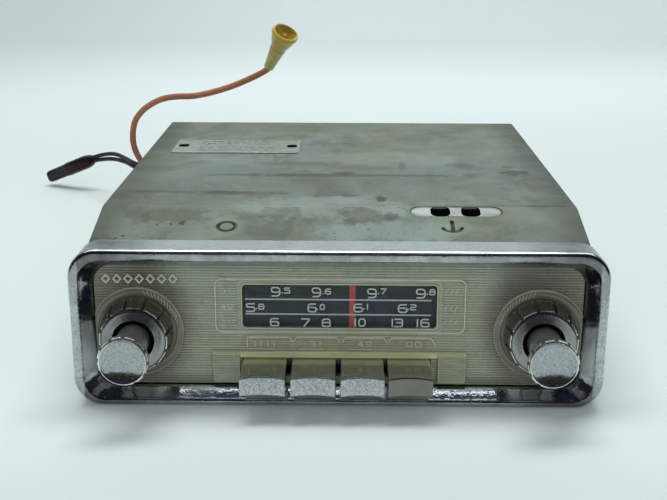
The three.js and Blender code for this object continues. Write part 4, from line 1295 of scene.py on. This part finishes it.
def build_side_block(name, x0, x1):
    """A ribbed block beside the keys, with a thin raised outline."""
    z0, z1 = 7.75, LEDGE_TOP
    front, valley = -10.0, 0.26
    rows = [(z0, 0.0)]  # z, depth
    z = z0 + 0.5
    while z < z1 - 1.3:
        rows += [(z, valley), (z + 0.25, 0.0), (z + 0.7, 0.0), (z + 1.0, valley)]
        z += 1.0
    rows += [(z1 - 0.9, 0.0), (z1 - 0.45, 0.08), (z1 - 0.12, 0.4), (z1, 0.9)]
    rows = sorted(set(rows))
    edge = [(0.0, 0.9, 0.0), (0.12, 0.4, 0.0), (0.5, 0.06, 0.0), (1.0, 0.0, 1.0)]
    columns = [(x0 + inset, depth, rib) for inset, depth, rib in edge]
    columns += [(x1 - inset, depth, rib) for inset, depth, rib in reversed(edge)]
    grid = [
        [(x, front + max(depth, drop * (rib if drop == valley else 1)), z)
         for x, depth, rib in columns]
        for z, drop in rows
    ]
    block = add_fascia(name, slab(grid, ROOT), "fascia_frame ledge", angle=32)
    # painted highlight: the top strip takes the ledge's light copy
    paint(block, lambda face: 1 if face.center.z > (z1 - 1.2) * MM else 0)
    outline = rounded_rect(x0 + 0.45, x1 - 0.45, z0 + 0.45, z1 - 0.5, 1.2, steps=6)
    add_fascia(name + "_outline",
               stroke(outline, 0.34, -10.12, -9.9, closed=True, crown=0.08), "fascia_arc")


build_ledge()
build_side_block("key_side_block_left", -45.1, -35.1)
build_side_block("key_side_block_right", 35.5, 45.9)

# ---------------------------------------------------------------- knobs
PETALS = 12
PETAL_STEP = math.radians(30)
KNOB_SEGMENTS = 360
# radius, depth behind the front
RING_PROFILE = [
    (4.95, 8.4), (4.95, 5.0), (7.05, 5.0), (7.1, 1.35), (7.25, 0.7), (7.5, 0.3), (8.2, 0.3),
    (9.4, 0.05), (10.4, 0), (10.9, 0.06), (11.15, 0.25), (11.22, 0.62), (11.35, 0.72),
    (11.5, 0.66), (11.62, 0.42), (11.8, 0.34), (11.98, 0.4), (12.1, 0.6), (12.18, 0.9),
    (12.2, 1.3), (12.12, 1.5), (12.15, 2.4), (12.4, 4.6), (12.85, 6.6), (13.3, 7.7),
    (13.4, 8.1), (13.2, 8.4),
]
DISH_RADIUS, DISH_CURVE = 7.5, 24.0
DISH = [(r, 0.25 + (DISH_RADIUS**2 - r * r) / (2 * DISH_CURVE))
        for r in (0.0, 0.8, 1.6, 2.4, 3.2, 4.0, 4.8, 5.6, 6.3, 6.9, 7.3, DISH_RADIUS)]
INNER_PROFILE = DISH + [
    (7.62, 0.1), (7.75, 0.0), (7.92, 0.02), (8.04, 0.18), (8.08, 0.45), (7.95, 0.75),
    (7.85, 1.0), (8.0, 1.15), (8.3, 1.05), (8.55, 1.05), (8.68, 1.3), (8.7, 1.9),
    (8.62, 3.2), (8.3, 4.4), (7.6, 5.6), (6.9, 6.4), (6.3, 7.0), (6.05, 7.8), (5.95, 12.0),
    (5.9, 20.6), (3.3, 20.6), (3.3, 5.2), (0.0, 5.2),
]


def petal_gap(theta, half_degrees, phase):
    """1 in the slit between two petals, 0 on a petal, with soft sides."""
    step = 360 / PETALS
    off = (math.degrees(theta) - phase) % step
    off = min(off, step - off)
    if off <= half_degrees:
        return 1.0
    return max(0.0, 1 - (off - half_degrees) / 1.2)


def petal_angle(theta, phase):
    """Angle from the middle of the petal."""
    return ((theta - math.radians(phase)) % PETAL_STEP) - PETAL_STEP / 2


def ring_petals(k, theta, r, y):
    first = 14
    if k < first:
        return r, y
    gap = petal_gap(theta, 2.0, 12)
    angle = petal_angle(theta, 12)
    flat = 1 / math.cos(angle) if abs(angle) < PETAL_STEP / 2 else 1
    return (r * (0.985 * (0.35 + 0.65 * flat)) - gap * (0.85 if k < 24 else 0.45),
            y + gap * (0.5 if k <= first + 4 else 0))


def inner_petals(k, theta, r, y):
    first, last = len(DISH) + 8, len(DISH) + 16
    if not first <= k <= last:
        return r, y
    gap = petal_gap(theta, 3.0, 27)
    flat = 1 / math.cos(petal_angle(theta, 27))
    fade = 1.0 if k < last - 2 else (0.6 if k == last - 2 else 0.3)
    return (r * (0.4 + 0.6 * flat) * 0.99 - gap * 0.95 * fade,
            y + (gap * 0.5 if k <= first + 2 else 0))


def ring_finish(r, depth):
    # painted shade in the recess (unlit material) and painted highlight on the rims (bright bead
    # chrome)
    if r < 7.2 and depth > 0.9:
        return 1
    return 2 if (11.6 < r < 12.35 and 0.3 < depth < 1.3) or r > 13.0 else 0


def inner_finish(r, depth):
    if r < 7.6 and depth < 1.7:
        return 1
    # painted highlight: the rims take the bright bead chrome
    return 2 if (7.6 <= r and depth < 0.55) or (8.2 < r and 0.95 < depth < 2.0) else 0


def build_knob(name, node, axis, body, profile, petals, closed, mats, finish):
    front = box_mm(node)[0][1]
    profile = [(r, front + depth) for r, depth in profile]
    geo = lathe_y(profile, axis, KNOB_SEGMENTS, petals, closed)
    knob = add_mesh(name, geo, mats, body=body, replaces=(node,), angle=38)
    paint_round(knob, axis, front, finish)


RING_KNOB = (RING_PROFILE, ring_petals, True, "ring void bead", ring_finish)
INNER_KNOB = (INNER_PROFILE, inner_petals, False, "knob knob_face bead", inner_finish)
build_knob("tone_ring", "tone_ring_knob", LEFT_SPINDLE, "tone", *RING_KNOB)
build_knob("fader_ring", "fader_ring_knob", RIGHT_SPINDLE, "fader", *RING_KNOB)
build_knob("volume_knob_turned", "volume_knob", LEFT_SPINDLE, "volume", *INNER_KNOB)
build_knob("tuning_knob_turned", "tuning_knob", RIGHT_SPINDLE, "tuning", *INNER_KNOB)

# ---------------------------------------------------------------- keys
KEYS = (1, 2, 3, 4)
SMOOTH_KEY = 4
KEY_NECK_Y = -20.0


def build_key(number):
    """A key cap whose face is hollowed across its width."""
    node = f"key_cap_{number}"
    (x0, front, z0), (x1, back, z1) = box_mm(node)
    half, middle = (x1 - x0) / 2, (x0 + x1) / 2
    dish_top, dish_low = 1.9, 1.35
    round_top, round_low = 0.55, 0.5
    shares = [-1, -0.985, -0.95] + [-0.9 + 1.8 * k / 22 for k in range(23)] + [0.95, 0.985, 1]
    rings = []
    for u in shares:
        x = middle + u * half
        hollow = 1 - u * u
        drop = 0.12 * (hollow - 1)  # the top falls towards both sides
        side = 0.0 if abs(u) < 0.96 else (0.05 if abs(u) < 0.99 else 0.22)
        # from the back bottom, round the face, to the back top
        ring = [(x, back, z0 + side), (x, KEY_NECK_Y, z0 + side)]
        for s in range(5):
            a = math.pi / 2 * s / 4
            ring.append((x, front + dish_low * hollow + side + round_low * (1 - math.sin(a)),
                         z0 + round_low * (1 - math.cos(a)) + side * (1 - s / 4)))
        for t in (0.2, 0.4, 0.6, 0.8):
            ring.append((x, front + (dish_low + (dish_top - dish_low) * t) * hollow + side,
                         z0 + round_low + (z1 - z0 - round_top - round_low) * t))
        for s in range(6):
            a = math.pi / 2 * s / 5
            ring.append((x, front + dish_top * hollow + side + round_top * (1 - math.cos(a)),
                         z1 - round_top + round_top * math.sin(a) + (drop - side) * (s / 5)))
        ring += [(x, KEY_NECK_Y, z1 - side + drop * 0.6), (x, back, z1 - side - 0.1)]
        rings.append(ring)
    smooth = number == SMOOTH_KEY
    cap = add_mesh(f"key_{number}_cap", loft(rings),
                   f"key_body {'key_dark' if smooth else 'key_face'} key_edge",
                   body=f"key_{number}", replaces=(node,), angle=40)

    def finish(face):
        x, y, z = face.normal
        # painted highlight: the top front edge of a pitted key takes the bright edge chrome
        if not smooth and -0.93 < y < -0.2 and z > 0.3 and abs(x) < 0.5:
            return 2
        return 1 if y < -0.55 else 0

    paint(cap, finish)


for number in KEYS:
    build_key(number)

# ---------------------------------------------------------------- casing lid
LID_LOW, LID_HIGH = box_mm("top_cover")
LID_SHEET = 1.0
LID_CORNER = 1.4


def lid_height(y):
    """Outer height of the lid at depth y, with a small fold radius."""
    top, reach = LID_HIGH[2], 5.0
    slope = math.tan(NOSE)
    if y >= FOLD_Y + reach * 0.5:
        return top
    if y <= FOLD_Y - reach * 0.5:
        return top - (FOLD_Y - y) * slope
    t = (y - (FOLD_Y - reach * 0.5)) / reach
    return top - reach * 0.5 * slope + slope * reach * (t - t * t / 2)


def lid_section(y, inset):
    low = LID_LOW[2]
    top = lid_height(y) - inset
    half = LID_HIGH[0] - inset
    radius = max(0.3, LID_CORNER - inset)

    def corner(cx, start):
        angles = [start - (math.pi / 2) * k / 6 for k in range(7)]
        return [(cx + radius * math.cos(a), top - radius + radius * math.sin(a)) for a in angles]

    points = [(-half, low), (-half, low + 6), (-half, top - radius - 2)]
    points += corner(-half + radius, math.pi)
    points += [(x, top) for x in range(-80, 81, 20)]
    points += corner(half - radius, math.pi / 2)
    points += [(half, top - radius - 2), (half, low + 6), (half, low)]
    return [(x, y, z) for x, z in points]


def groove(points, radius, depth, closed=False):
    """A round cutter pressed depth deep into the nose along (x, y) points."""
    path = [Vector((x, y, lid_height(y) + radius - depth)) for x, y in points]
    count = len(path)
    upright = Vector((0, -math.sin(NOSE), math.cos(NOSE)))
    rings = []
    for i, point in enumerate(path):
        before = path[(i - 1) % count] if (closed or i) else point
        after = path[(i + 1) % count] if (closed or i < count - 1) else point
        tangent = (after - before).normalized()
        side = tangent.cross(upright).normalized()
        normal = side.cross(tangent).normalized()
        rings.append([tuple(point + side * radius * c + normal * radius * s)
                      for c, s in around(8)])
    return loft(rings, loop=closed)


def lid_cutters():
    # long slot with round ends
    x0, x1, slot_y, half = 26.4, 61.2, 23.95, 3.95
    slot = []
    for cx, start in ((x1 - half, -math.pi / 2), (x0 + half, math.pi / 2)):
        angles = [start + math.pi * k / 10 for k in range(11)]
        slot += [(cx + half * math.cos(a), slot_y + half * math.sin(a)) for a in angles]
    cutters = [prism_z(slot, 56, 70)]
    # screw holes through both sides
    for y in (57, 148):
        cutters.append(loft([[(x, y + c * 1.9, 58 + s * 1.9) for c, s in around(24)]
                             for x in (-120, 120)]))
    # stamped circle, and an arc with a bar
    cx, cy, radius = STAMP_CIRCLE
    circle = [(cx + radius * c, cy + radius * s) for c, s in around(40)]
    cutters.append(groove(circle, 0.85, 0.62, closed=True))
    cx, cy, radius = STAMP_ARC
    angles = [math.radians(196 + 148 * k / 22) for k in range(23)]
    arc = [(cx + radius * math.cos(a), cy + radius * math.sin(a)) for a in angles]
    cutters.append(groove(arc, 0.85, 0.62))
    cutters.append(groove([(41.5, y) for y in (9.2, 11, 13, 15, 16.8)], 0.8, 0.6))
    return cutters


def build_lid():
    ys = [LID_LOW[1], 4, 8, 12, 16, 20, 24, 25.5, 26.2, 26.9, 27.6, 28.3, 29.0, 29.7, 30.5, 33,
          40, *range(50, 200, 10), LID_HIGH[1]]
    rings = [lid_section(y, 0.0) + lid_section(y, LID_SHEET)[::-1] for y in ys]
    verts, faces = loft(rings, close_first=False, close_last=False)
    count = len(rings[0])
    for base in (0, (len(rings) - 1) * count):
        for k in range(count // 2 - 1):
            faces.append((base + k, base + k + 1, base + count - 2 - k, base + count - 1 - k))
    lid = add_mesh("casing_lid", (verts, faces), "lid",
                   replaces=("top_cover",), angle=30)
    cut(lid, lid_cutters(), angle=30)
    weight_normals(lid)


build_lid()


def build_nameplate():
    (x0, y0, z0), (x1, y1, z1) = box_mm("nameplate")
    corner = 2.4

    def outline(inset):
        return rounded_rect(x0 + inset, x1 - inset, y0 + inset, y1 - inset,
                            max(0.4, corner - inset), steps=6)

    stations = ((0, z0), (0, z1 - 0.1), (0.25, z1), (1.0, z1), (1.25, z1 - 0.18))
    rings = [[(x, y, z) for x, y in outline(inset)] for inset, z in stations]
    plate = add_mesh("nameplate_pressed", loft(rings), "nameplate",
                     replaces=("nameplate",), angle=30)

    holes = ((-74.2, 137.2), (-23.2, 136.8))

    def hole(middle, half_x, half_y):
        cx, cy = middle
        return rounded_rect(cx - half_x, cx + half_x, cy - half_y, cy + half_y, 2.0, steps=4)

    cut(plate, [prism_z(hole(middle, 2.4, 3.4), z0 - 1, z1 + 1) for middle in holes], angle=30)
    # rows of raised dashes of random length
    rng = np.random.default_rng(7)
    dashes = []
    for y in (146.5, 141.8, 133.6, 128.6):
        x = -66.0
        while x < -33:
            width = float(rng.uniform(0.8, 3.2))
            dashes.append(box_geo(x, min(-32, x + width), y - 0.55, y + 0.55, z1 - 0.25,
                                  z1 - 0.02))
            x += width + float(rng.uniform(0.8, 2.2))
    raised = add_mesh("nameplate_dashes", join_geo(dashes), "nameplate",
                      angle=30)
    add_bevel(raised, 0.12, angle=30).use_clamp_overlap = True
    apply_modifiers(raised)
    finish_shading(raised, 35)
    weight_normals(raised).weight = 80
    # painted shade: unlit wells under the two holes
    for k, middle in enumerate(holes, 1):
        add_mesh(f"nameplate_well_{k}", prism_z(hole(middle, 2.38, 3.38), z0 - 0.04, z0 + 0.06),
                 "void", angle=30)


build_nameplate()

STRIP_X, STRIP_Y = 43.8, 24.5
STRIP_Z = NOSE_EDGE_Z + STRIP_Y * math.tan(NOSE)


def on_nose(x, y, z):
    """A place given from the strip's centre, along and square to the sloping nose."""
    c, s = math.cos(NOSE), math.sin(NOSE)
    return (STRIP_X + x, STRIP_Y + y * c - z * s, STRIP_Z + y * s + z * c)


def build_strip():
    """The bare strip that fills the lid's slot, with two windows and a cup under each."""
    base = rounded_rect(-22, 22, -6.2, 4.0, 0.6, steps=3)
    raised = rounded_rect(-17.1, 17.1, -3.75, 3.75, 3.7, steps=3)
    stations = (  # outline, scale x, scale y, height
        (base, 1, 1, -2.05), (base, 1, 1, -1.25), (raised, 1, 1, -1.15),
        (raised, 0.995, 0.97, -0.55), (raised, 0.985, 0.92, -0.45),
    )
    rings = [[on_nose(x * sx, y * sy, z) for x, y in points] for points, sx, sy, z in stations]
    strip = add_mesh("trimmer_strip_bare", loft(rings), "strip void",
                     replaces=("trimmer_strip",), angle=30)
    windows = ((-9.6, -2.3), (1.9, 9.1))
    cutters = []
    for x0, x1 in windows:
        outline = rounded_rect(x0, x1, -3.6, 3.6, 2.3, steps=6)
        cutters.append(loft([[on_nose(x, y, z) for x, y in outline] for z in (-5, 2)]))
    cut(strip, cutters, angle=30)

    def finish(face):
        """The cut edges of the windows take the unlit material: painted shade."""
        x, y, _ = mm_of(face.center)
        inside = any(x0 - 0.05 < x - STRIP_X < x1 + 0.05 for x0, x1 in windows)
        near = abs((y - STRIP_Y) / math.cos(NOSE)) < 4.3
        return 1 if inside and near and face.normal.z < 0.9 else 0

    paint(strip, finish)
    # radius, height
    cup = ((4.6, -2.5), (4.6, -4.2), (0.5, -4.2), (0.5, -3.8), (4.2, -3.8), (4.2, -2.5))
    # painted shade: each cup takes the unlit material
    for k, x in enumerate((-5.95, 5.5), 1):
        rings = [[on_nose(x + r * c, r * s, z) for c, s in around(28)] for r, z in cup]
        add_mesh(f"trimmer_cup_{k}", loft(rings, loop=True), "void",
                 angle=30)


build_strip()


# ---------------------------------------------------------------- screws and rear fittings
def build_cover_screw(node, side):
    """A slotted screw in a side of the lid; side is -1 left, 1 right."""
    low, high = box_mm(node)
    _, cy, cz = mm_of(centre(node))
    outer, inner = (high[0], low[0]) if side > 0 else (low[0], high[0])
    head = [(0.0, 0), (1.6, 0.02), (2.6, 0.3), (3.2, 0.8), (3.5, 1.5), (3.5, 2.2), (1.45, 2.2)]
    profile = [(r, outer - side * depth) for r, depth in head] + [(1.45, inner), (0.0, inner)]
    rings = [[(x, cy + r * c, cz + r * s) for c, s in around(48)] for r, x in profile]
    screw = add_mesh(node + "_turned", loft(rings, close_first=False, close_last=False),
                     "dark_steel", replaces=(node,), angle=35)
    x0, x1 = sorted((outer - side * 0.75, outer + side * 1))
    cut(screw, [box_geo(x0, x1, cy - 0.45, cy + 0.45, cz - 5, cz + 5)], angle=35)


for name, side in (("left", -1), ("right", 1)):
    for where in ("front", "rear"):
        build_cover_screw(f"cover_screw_{name}_{where}", side)


def build_power_transistor():
    """A flanged can with two slotted screws."""
    (x0, y0, z0), (x1, y1, z1) = box_mm("power_transistor")
    cx, cz = (x0 + x1) / 2, (z0 + z1) / 2
    screws = [(cx + side * 15, cz) for side in (-1, 1)]
    outline = fillet([(cx - 19.6, cz), (cx - 5, cz - 11.5), (cx + 5, cz - 11.5), (cx + 19.6, cz),
                      (cx + 5, cz + 11.5), (cx - 5, cz + 11.5)], 4.5, steps=8, closed=True)
    edge = [(cx + (x - cx) * 0.985, cz + (z - cz) * 0.985) for x, z in outline]
    rings = [[(x, y, z) for x, z in points]
             for points, y in ((outline, y0), (outline, y0 + 1.6), (edge, y0 + 1.9))]
    flange = add_mesh("power_transistor_flange", loft(rings), "bright",
                      replaces=("power_transistor",), angle=30)
    cut(flange, [lathe_y([(1.9, y0 - 2), (1.9, y0 + 4)], axis, 24) for axis in screws], angle=30)
    can = [(9.6, y0 + 1.8), (9.6, y0 + 2.3), (9.3, y0 + 2.6), (9.2, y1 - 0.8), (8.9, y1 - 0.25),
           (8.3, y1), (0, y1)]
    add_mesh("power_transistor_can", lathe_y(can, (cx, cz), 72), "bright", angle=30)
    profile = [(0, 3.3), (1.6, 3.2), (2.5, 2.9), (2.9, 2.3), (2.9, 1.95), (1.7, 1.95), (1.7, -3),
               (0, -3)]
    for k, (x, z) in enumerate(screws, 1):
        turned = lathe_y([(r, y0 + y) for r, y in profile], (x, z), 32)
        screw = add_mesh(f"transistor_screw_{k}", turned, "dark_steel", angle=35)
        cut(screw, [box_geo(x - 4, x + 4, y0 + 2.6, y0 + 5, z - 0.35, z + 0.35)], angle=35)


def build_grommet():
    plate_y = 200.0
    profile = [
        (4.7, -4.2), (7.2, -4.2), (7.6, -3.8), (7.6, -1.6), (5.75, -1.5), (5.75, 0.3),
        (7.6, 0.35), (7.6, 1.2), (7.2, 2.6), (6.4, 3.15), (5.4, 3.2), (4.7, 2.7),
    ]
    geo = lathe_y([(r, plate_y + y) for r, y in profile], axis_of("rear_grommet"), 64, closed=True)
    add_mesh("rear_grommet_moulded", geo, "rubber", replaces=("rear_grommet",))


build_power_transistor()
build_grommet()

# ---------------------------------------------------------------- leads
AERIAL_PATH = [
    (-71.9, 190, 22), (-71.9, 203, 22), (-78, 215, 21.5), (-95, 227, 24), (-109, 232, 31),
    (-116.2, 232, 43), (-116.0, 232, 56), (-110.5, 232, 64.6), (-101, 232, 70.4),
    (-92, 232, 72.2), (-82, 232, 72.7), (-71, 232, 75.0), (-60, 232, 78.5), (-49, 232, 83.2),
    (-41.2, 232, 87.4), (-40.2, 231.2, 89.6),
]
# x, y, z midway between the two wires, share of the extra splay
TWIN_PATH = [
    (-68.2, 190, 22, 0), (-68.2, 203, 22, 0), (-71, 216, 22, 0), (-84, 234, 22, 0),
    (-103, 250, 24, 0), (-121.5, 262, 26.4, 0), (-130, 275, 26.6, 0), (-137.5, 286, 26.2, 1),
    (-143.8, 293, 25.2, 1), (-151.0, 300, 23.0, 0.6), (-156.3, 304.6, 21.0, 0),
    (-157.6, 305.7, 20.4, 0),
]


def build_leads():
    add_mesh("aerial_lead_braided", tube(catmull(AERIAL_PATH, 260), 1.68, 20), "coax",
             replaces=("antenna_lead",), angle=60)
    for k, side in ((1, 1), (2, -1)):
        path = [(x, y, z + side * 1.12 + side * 0.45 * share) for x, y, z, share in TWIN_PATH]
        add_mesh(f"twin_lead_wire_{k}", tube(catmull(path, 200), 1.26, 16), "wire",
                 replaces=("twin_lead",) if k == 1 else (), angle=60)


# radius, distance along the plug
AERIAL_PLUG_PROFILE = [
    (0, 0.4), (2.2, 0.4), (2.65, 0.75), (2.8, 1.5), (3.05, 4.0), (3.5, 7.6), (3.95, 11.4),
    (4.12, 12.9), (4.3, 13.3), (4.42, 13.8), (4.42, 14.5), (4.2, 14.9), (4.2, 15.3),
    (4.5, 15.9), (5.2, 17.8), (5.95, 19.8), (6.5, 21.5), (6.85, 22.7), (7.05, 23.1),
    (7.3, 23.6), (7.38, 24.3), (7.32, 25.0), (7.0, 25.5), (6.55, 25.7), (6.1, 25.55),
    (5.85, 25.0), (5.5, 23.4), (4.9, 20.9), (4.2, 19.4), (3.8, 19.0), (1.4, 19.0),
    (1.1, 19.4), (1.1, 23.4), (0.75, 24.0), (0, 24.2),
]


def build_aerial_plug():
    base = Vector((-40.6, 232, 88.0))
    along = Vector((0.408, -0.420, 0.813)).normalized()
    across = along.cross(Vector((0, 1, 0))).normalized()
    third = along.cross(across).normalized()
    rings = [
        [tuple(base + along * distance + (across * c + third * s) * r) for c, s in around(72)]
        for r, distance in AERIAL_PLUG_PROFILE
    ]
    add_mesh("aerial_plug_moulded", loft(rings, close_first=False, close_last=False), "nylon",
             replaces=("antenna_plug",), angle=30)


# distance along the plug, half width, height of each half
LEAD_PLUG_STATIONS = [
    (0.4, 2.2, 1.7), (0.9, 3.2, 2.6), (2.4, 3.9, 3.5), (5.0, 4.4, 4.1), (6.0, 4.4, 4.2),
    (6.3, 4.1, 3.9), (6.9, 4.1, 3.9), (7.2, 4.4, 4.2), (9.0, 4.4, 4.2), (9.3, 4.1, 3.9),
    (9.9, 4.1, 3.9), (10.2, 4.4, 4.2), (20.6, 4.4, 4.3), (21.1, 4.25, 4.15),
    (21.5, 4.0, 3.9), (36.0, 4.0, 3.8), (37.5, 3.6, 3.5), (38.3, 2.7, 2.8),
]


def build_lead_plug():
    """Two mirrored half shells, black above and dark red below."""
    base = Vector((-157.2, 305.4, 20.6))
    along = Vector((-190 + 157.2, 321 - 305.4, 5.2 - 20.6)).normalized()
    up = (Vector((0, 0, 1)) - along * along.z).normalized()
    side = along.cross(up).normalized()
    shoulder = [(-1, 0.45), (-0.86, 0.78), (-0.5, 0.97), (0, 1), (0.5, 0.97), (0.86, 0.78),
                (1, 0.45)]
    for name, sign, mat in (("lead_plug_upper", 1, "black"), ("lead_plug_lower", -1, "darkred")):
        rings = []
        for distance, width, height in LEAD_PLUG_STATIONS:
            section = [(width * a, height * b) for a, b in shoulder]
            section = [(-width, 0.06), *section, (width, 0.06)]
            rings.append([tuple(base + along * distance + side * a + up * b * sign)
                          for a, b in section])
        add_mesh(name, loft(rings), mat,
                 replaces=("lead_plug",) if sign > 0 else ())


build_leads()
build_aerial_plug()
build_lead_plug()

# ---------------------------------------------------------------- CAD nodes that stay
FINISHES = {
    "sheet": "chassis_tray rear_plate",
    "steel": "front_plate volume_shaft tuning_shaft latch_bar switch_guide pointer_rail "
             "output_transformer",
    "bright": "volume_tone_pot fader_pot filter_capacitor dial_lamp",
    "brass": "tone_sleeve fader_sleeve left_bushing_nut right_bushing_nut pointer_carriage",
    "board": "band_switch coil_block circuit_board",
    "cord": "dial_cord",
    "black": "cord_pulley_left cord_pulley_upper cord_pulley_lower",
    "ferrite": "core_carriage",
}
for number in KEYS:
    FINISHES["steel"] += f" key_plunger_{number} key_spring_{number}"
BEVELLED = ("chassis_tray", "rear_plate", "front_plate", "output_transformer", "circuit_board",
            "switch_guide", "latch_bar")
for mat, nodes in FINISHES.items():
    for node in nodes.split():
        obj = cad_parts[node]
        obj.data.materials.clear()
        obj.data.materials.append(MAT[mat])
        if node in BEVELLED:
            add_bevel(obj, 0.25, angle=40)
        weight_normals(obj, "w")


def build_spring(number):
    """A steel coil along the spring, with a mesh of its own."""
    node = f"key_spring_{number}"
    low, high = box_mm(node)
    wire, radius, turns, steps = 0.4, 3.0, 5, 240
    y0, y1 = low[1] + 0.42, high[1] - 0.42
    cx, cz = axis_of(node)
    path = []
    for k in range(steps + 1):
        a = 2 * math.pi * turns * k / steps
        path.append(Vector((cx + radius * math.cos(a), y0 + (y1 - y0) * k / steps,
                            cz + radius * math.sin(a))))
    coil = add_mesh(f"key_{number}_spring_coil", tube(path, wire, 10), "steel",
                    replaces=(node,), angle=60)
    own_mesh(coil)


for number in KEYS:
    build_spring(number)


# ---------------------------------------------------------------- stage, light and camera (metres)
def sweep_paper():
    """Pale paper with painted light and painted shade by where it lies, some only for the eye and
    some only in reflections.
    """
    mat = Material("pale_paper")
    x, y, _ = mat.xyz()
    rays = mat.node("LightPath").outputs
    camera, glossy = rays["Is Camera Ray"], rays["Is Glossy Ray"]
    color = mat.mix(mat.patches(2.2, (0.3, 0.7), detail=3, rough=0.5), (0.64, 0.69, 0.69),
                    (0.66, 0.71, 0.705))
    # painted light: the back is lighter, for the eye only
    back = mat.times(mat.step(y, (0.22, 0.75)), camera)
    color = mat.mix(back, color, (0.875, 0.925, 0.925), amount=0.9)
    # painted reflection: the far back is lighter in reflections
    color = mat.mix(mat.step(y, (0.45, 0.8)), color, (0.82, 0.875, 0.875), amount=glossy)
    # painted shade: the floor near the front is darker, and the back darker to the left, for the
    # eye only
    near = mat.times(mat.step(mat.times(y, -1.0), (0.13, 0.25)), camera)
    color = mat.mix(near, color, (0.53, 0.575, 0.572), amount=0.9)
    left = mat.step(mat.times(x, -1.0), (0.05, 0.45), out=(0.0, 0.4))
    color = mat.mix(back, color, (0.56, 0.61, 0.62), amount=left)
    # reflections see a dim room in front of the table instead of an endless floor
    far = mat.times(mat.step(mat.times(y, -1.0), (0.345, 0.40)), glossy)
    room = mat.mix(mat.patches(9, (0.4, 0.65)), (0.03, 0.036, 0.045), (0.075, 0.05, 0.04))
    return mat.build(color=mat.mix(far, color, room), rough=0.62, spec=0.25)


def build_sweep():
    """A floor that curves up into a back wall."""
    half_width, bend, lowered = 3.5, 0.7, 0.00005
    profile = [(-2.4, 0.0), (-1.0, 0.0), (0.0, 0.0), (1.0, 0.0)]
    for k in range(1, 17):
        a = math.pi / 2 * k / 16
        profile.append((1.0 + bend * math.sin(a), bend * (1 - math.cos(a))))
    profile.append((1.0 + bend, 2.0))
    verts = [(x, y, z - lowered) for y, z in profile for x in (-half_width, half_width)]
    faces = [(2 * k, 2 * k + 1, 2 * k + 3, 2 * k + 2) for k in range(len(profile) - 1)]
    mesh = bpy.data.meshes.new("sweep")
    mesh.from_pydata(verts, [], faces)
    sweep = bpy.data.objects.new("studio_sweep", mesh)
    SCENE.collection.objects.link(sweep)
    finish_shading(sweep, 180)
    mesh.materials.append(sweep_paper())


def area(name, at, target, size, power, color, glossy=True, diffuse=True):
    light = bpy.data.lights.new(name, "AREA")
    light.shape = "RECTANGLE"
    light.size, light.size_y = size
    light.energy = power
    light.color = color
    obj = bpy.data.objects.new(name, light)
    SCENE.collection.objects.link(obj)
    obj.location = at
    obj.rotation_euler = (Vector(target) - Vector(at)).to_track_quat("-Z", "Y").to_euler()
    obj.visible_glossy = glossy
    obj.visible_diffuse = diffuse


def build_world():
    """An even sky for diffuse light, and a dark room in reflections."""
    world = bpy.data.worlds.new("studio")
    SCENE.world = world
    world.use_nodes = True
    tree = world.node_tree
    tree.nodes.clear()

    def node(kind):
        return tree.nodes.new("ShaderNode" + kind)

    output, sky, room = node("OutputWorld"), node("Background"), node("Background")
    sky.inputs[0].default_value = (0.80, 0.88, 0.90, 1)
    sky.inputs[1].default_value = 0.40
    room.inputs[1].default_value = 1.0
    coord, split, ramp = node("TexCoord"), node("SeparateXYZ"), node("ValToRGB")
    tree.links.new(coord.outputs["Generated"], split.inputs[0])
    tree.links.new(split.outputs[2], ramp.inputs[0])
    stops = ramp.color_ramp.elements
    stops[0].position, stops[0].color = 0.0, (0.055, 0.045, 0.045, 1)
    stops[1].position, stops[1].color = 0.12, (0.036, 0.036, 0.040, 1)
    stops.new(0.75).color = (0.038, 0.053, 0.078, 1)
    tree.links.new(ramp.outputs[0], room.inputs[0])
    rays, mixed = node("LightPath"), node("MixShader")
    tree.links.new(rays.outputs["Is Glossy Ray"], mixed.inputs[0])
    tree.links.new(sky.outputs[0], mixed.inputs[1])
    tree.links.new(room.outputs[0], mixed.inputs[2])
    tree.links.new(mixed.outputs[0], output.inputs[0])


def build_camera():
    lens = bpy.data.cameras.new("camera")
    lens.sensor_width = 36.0
    lens.lens = 59.87
    lens.clip_start = 0.01
    camera = bpy.data.objects.new("camera", lens)
    SCENE.collection.objects.link(camera)
    forward = Vector((-0.01059127, 0.95649607, -0.29155289))
    right = Vector((0.99992511, 0.01191879, 0.00277754))
    up = Vector((-0.00613166, 0.29150164, 0.95655068))
    placed = Matrix((right, up, -forward)).transposed().to_4x4()
    placed.translation = Vector(metres(2.25, -378.57, 170.22))
    camera.matrix_world = placed
    SCENE.camera = camera


build_sweep()
area("soft_back_top", at=(0.0, 1.1, 1.15), target=(0, 0.0, 0.0), size=(2.4, 0.5), power=12.0,
     color=(0.97, 1.0, 1.0), diffuse=False)
area("soft_overhead", at=(-0.05, 0.165, 1.5), target=(0, 0.0, 0), size=(1.4, 0.42), power=18.9,
     color=(0.96, 1.0, 1.0), glossy=False)
area("soft_front", at=(0.0, -1.6, 0.8), target=(0, 0, 0.02), size=(2.0, 1.0), power=12,
     color=(0.96, 1.0, 1.0), glossy=False)
area("lamp_streak", at=(0.0, -0.30, 1.2), target=(0, -0.12, 0.0), size=(0.52, 0.06), power=0.17,
     color=(0.93, 0.97, 1.0), diffuse=False)
build_world()
build_camera()
SCENE.view_settings.view_transform = "Standard"
SCENE.view_settings.look = "None"
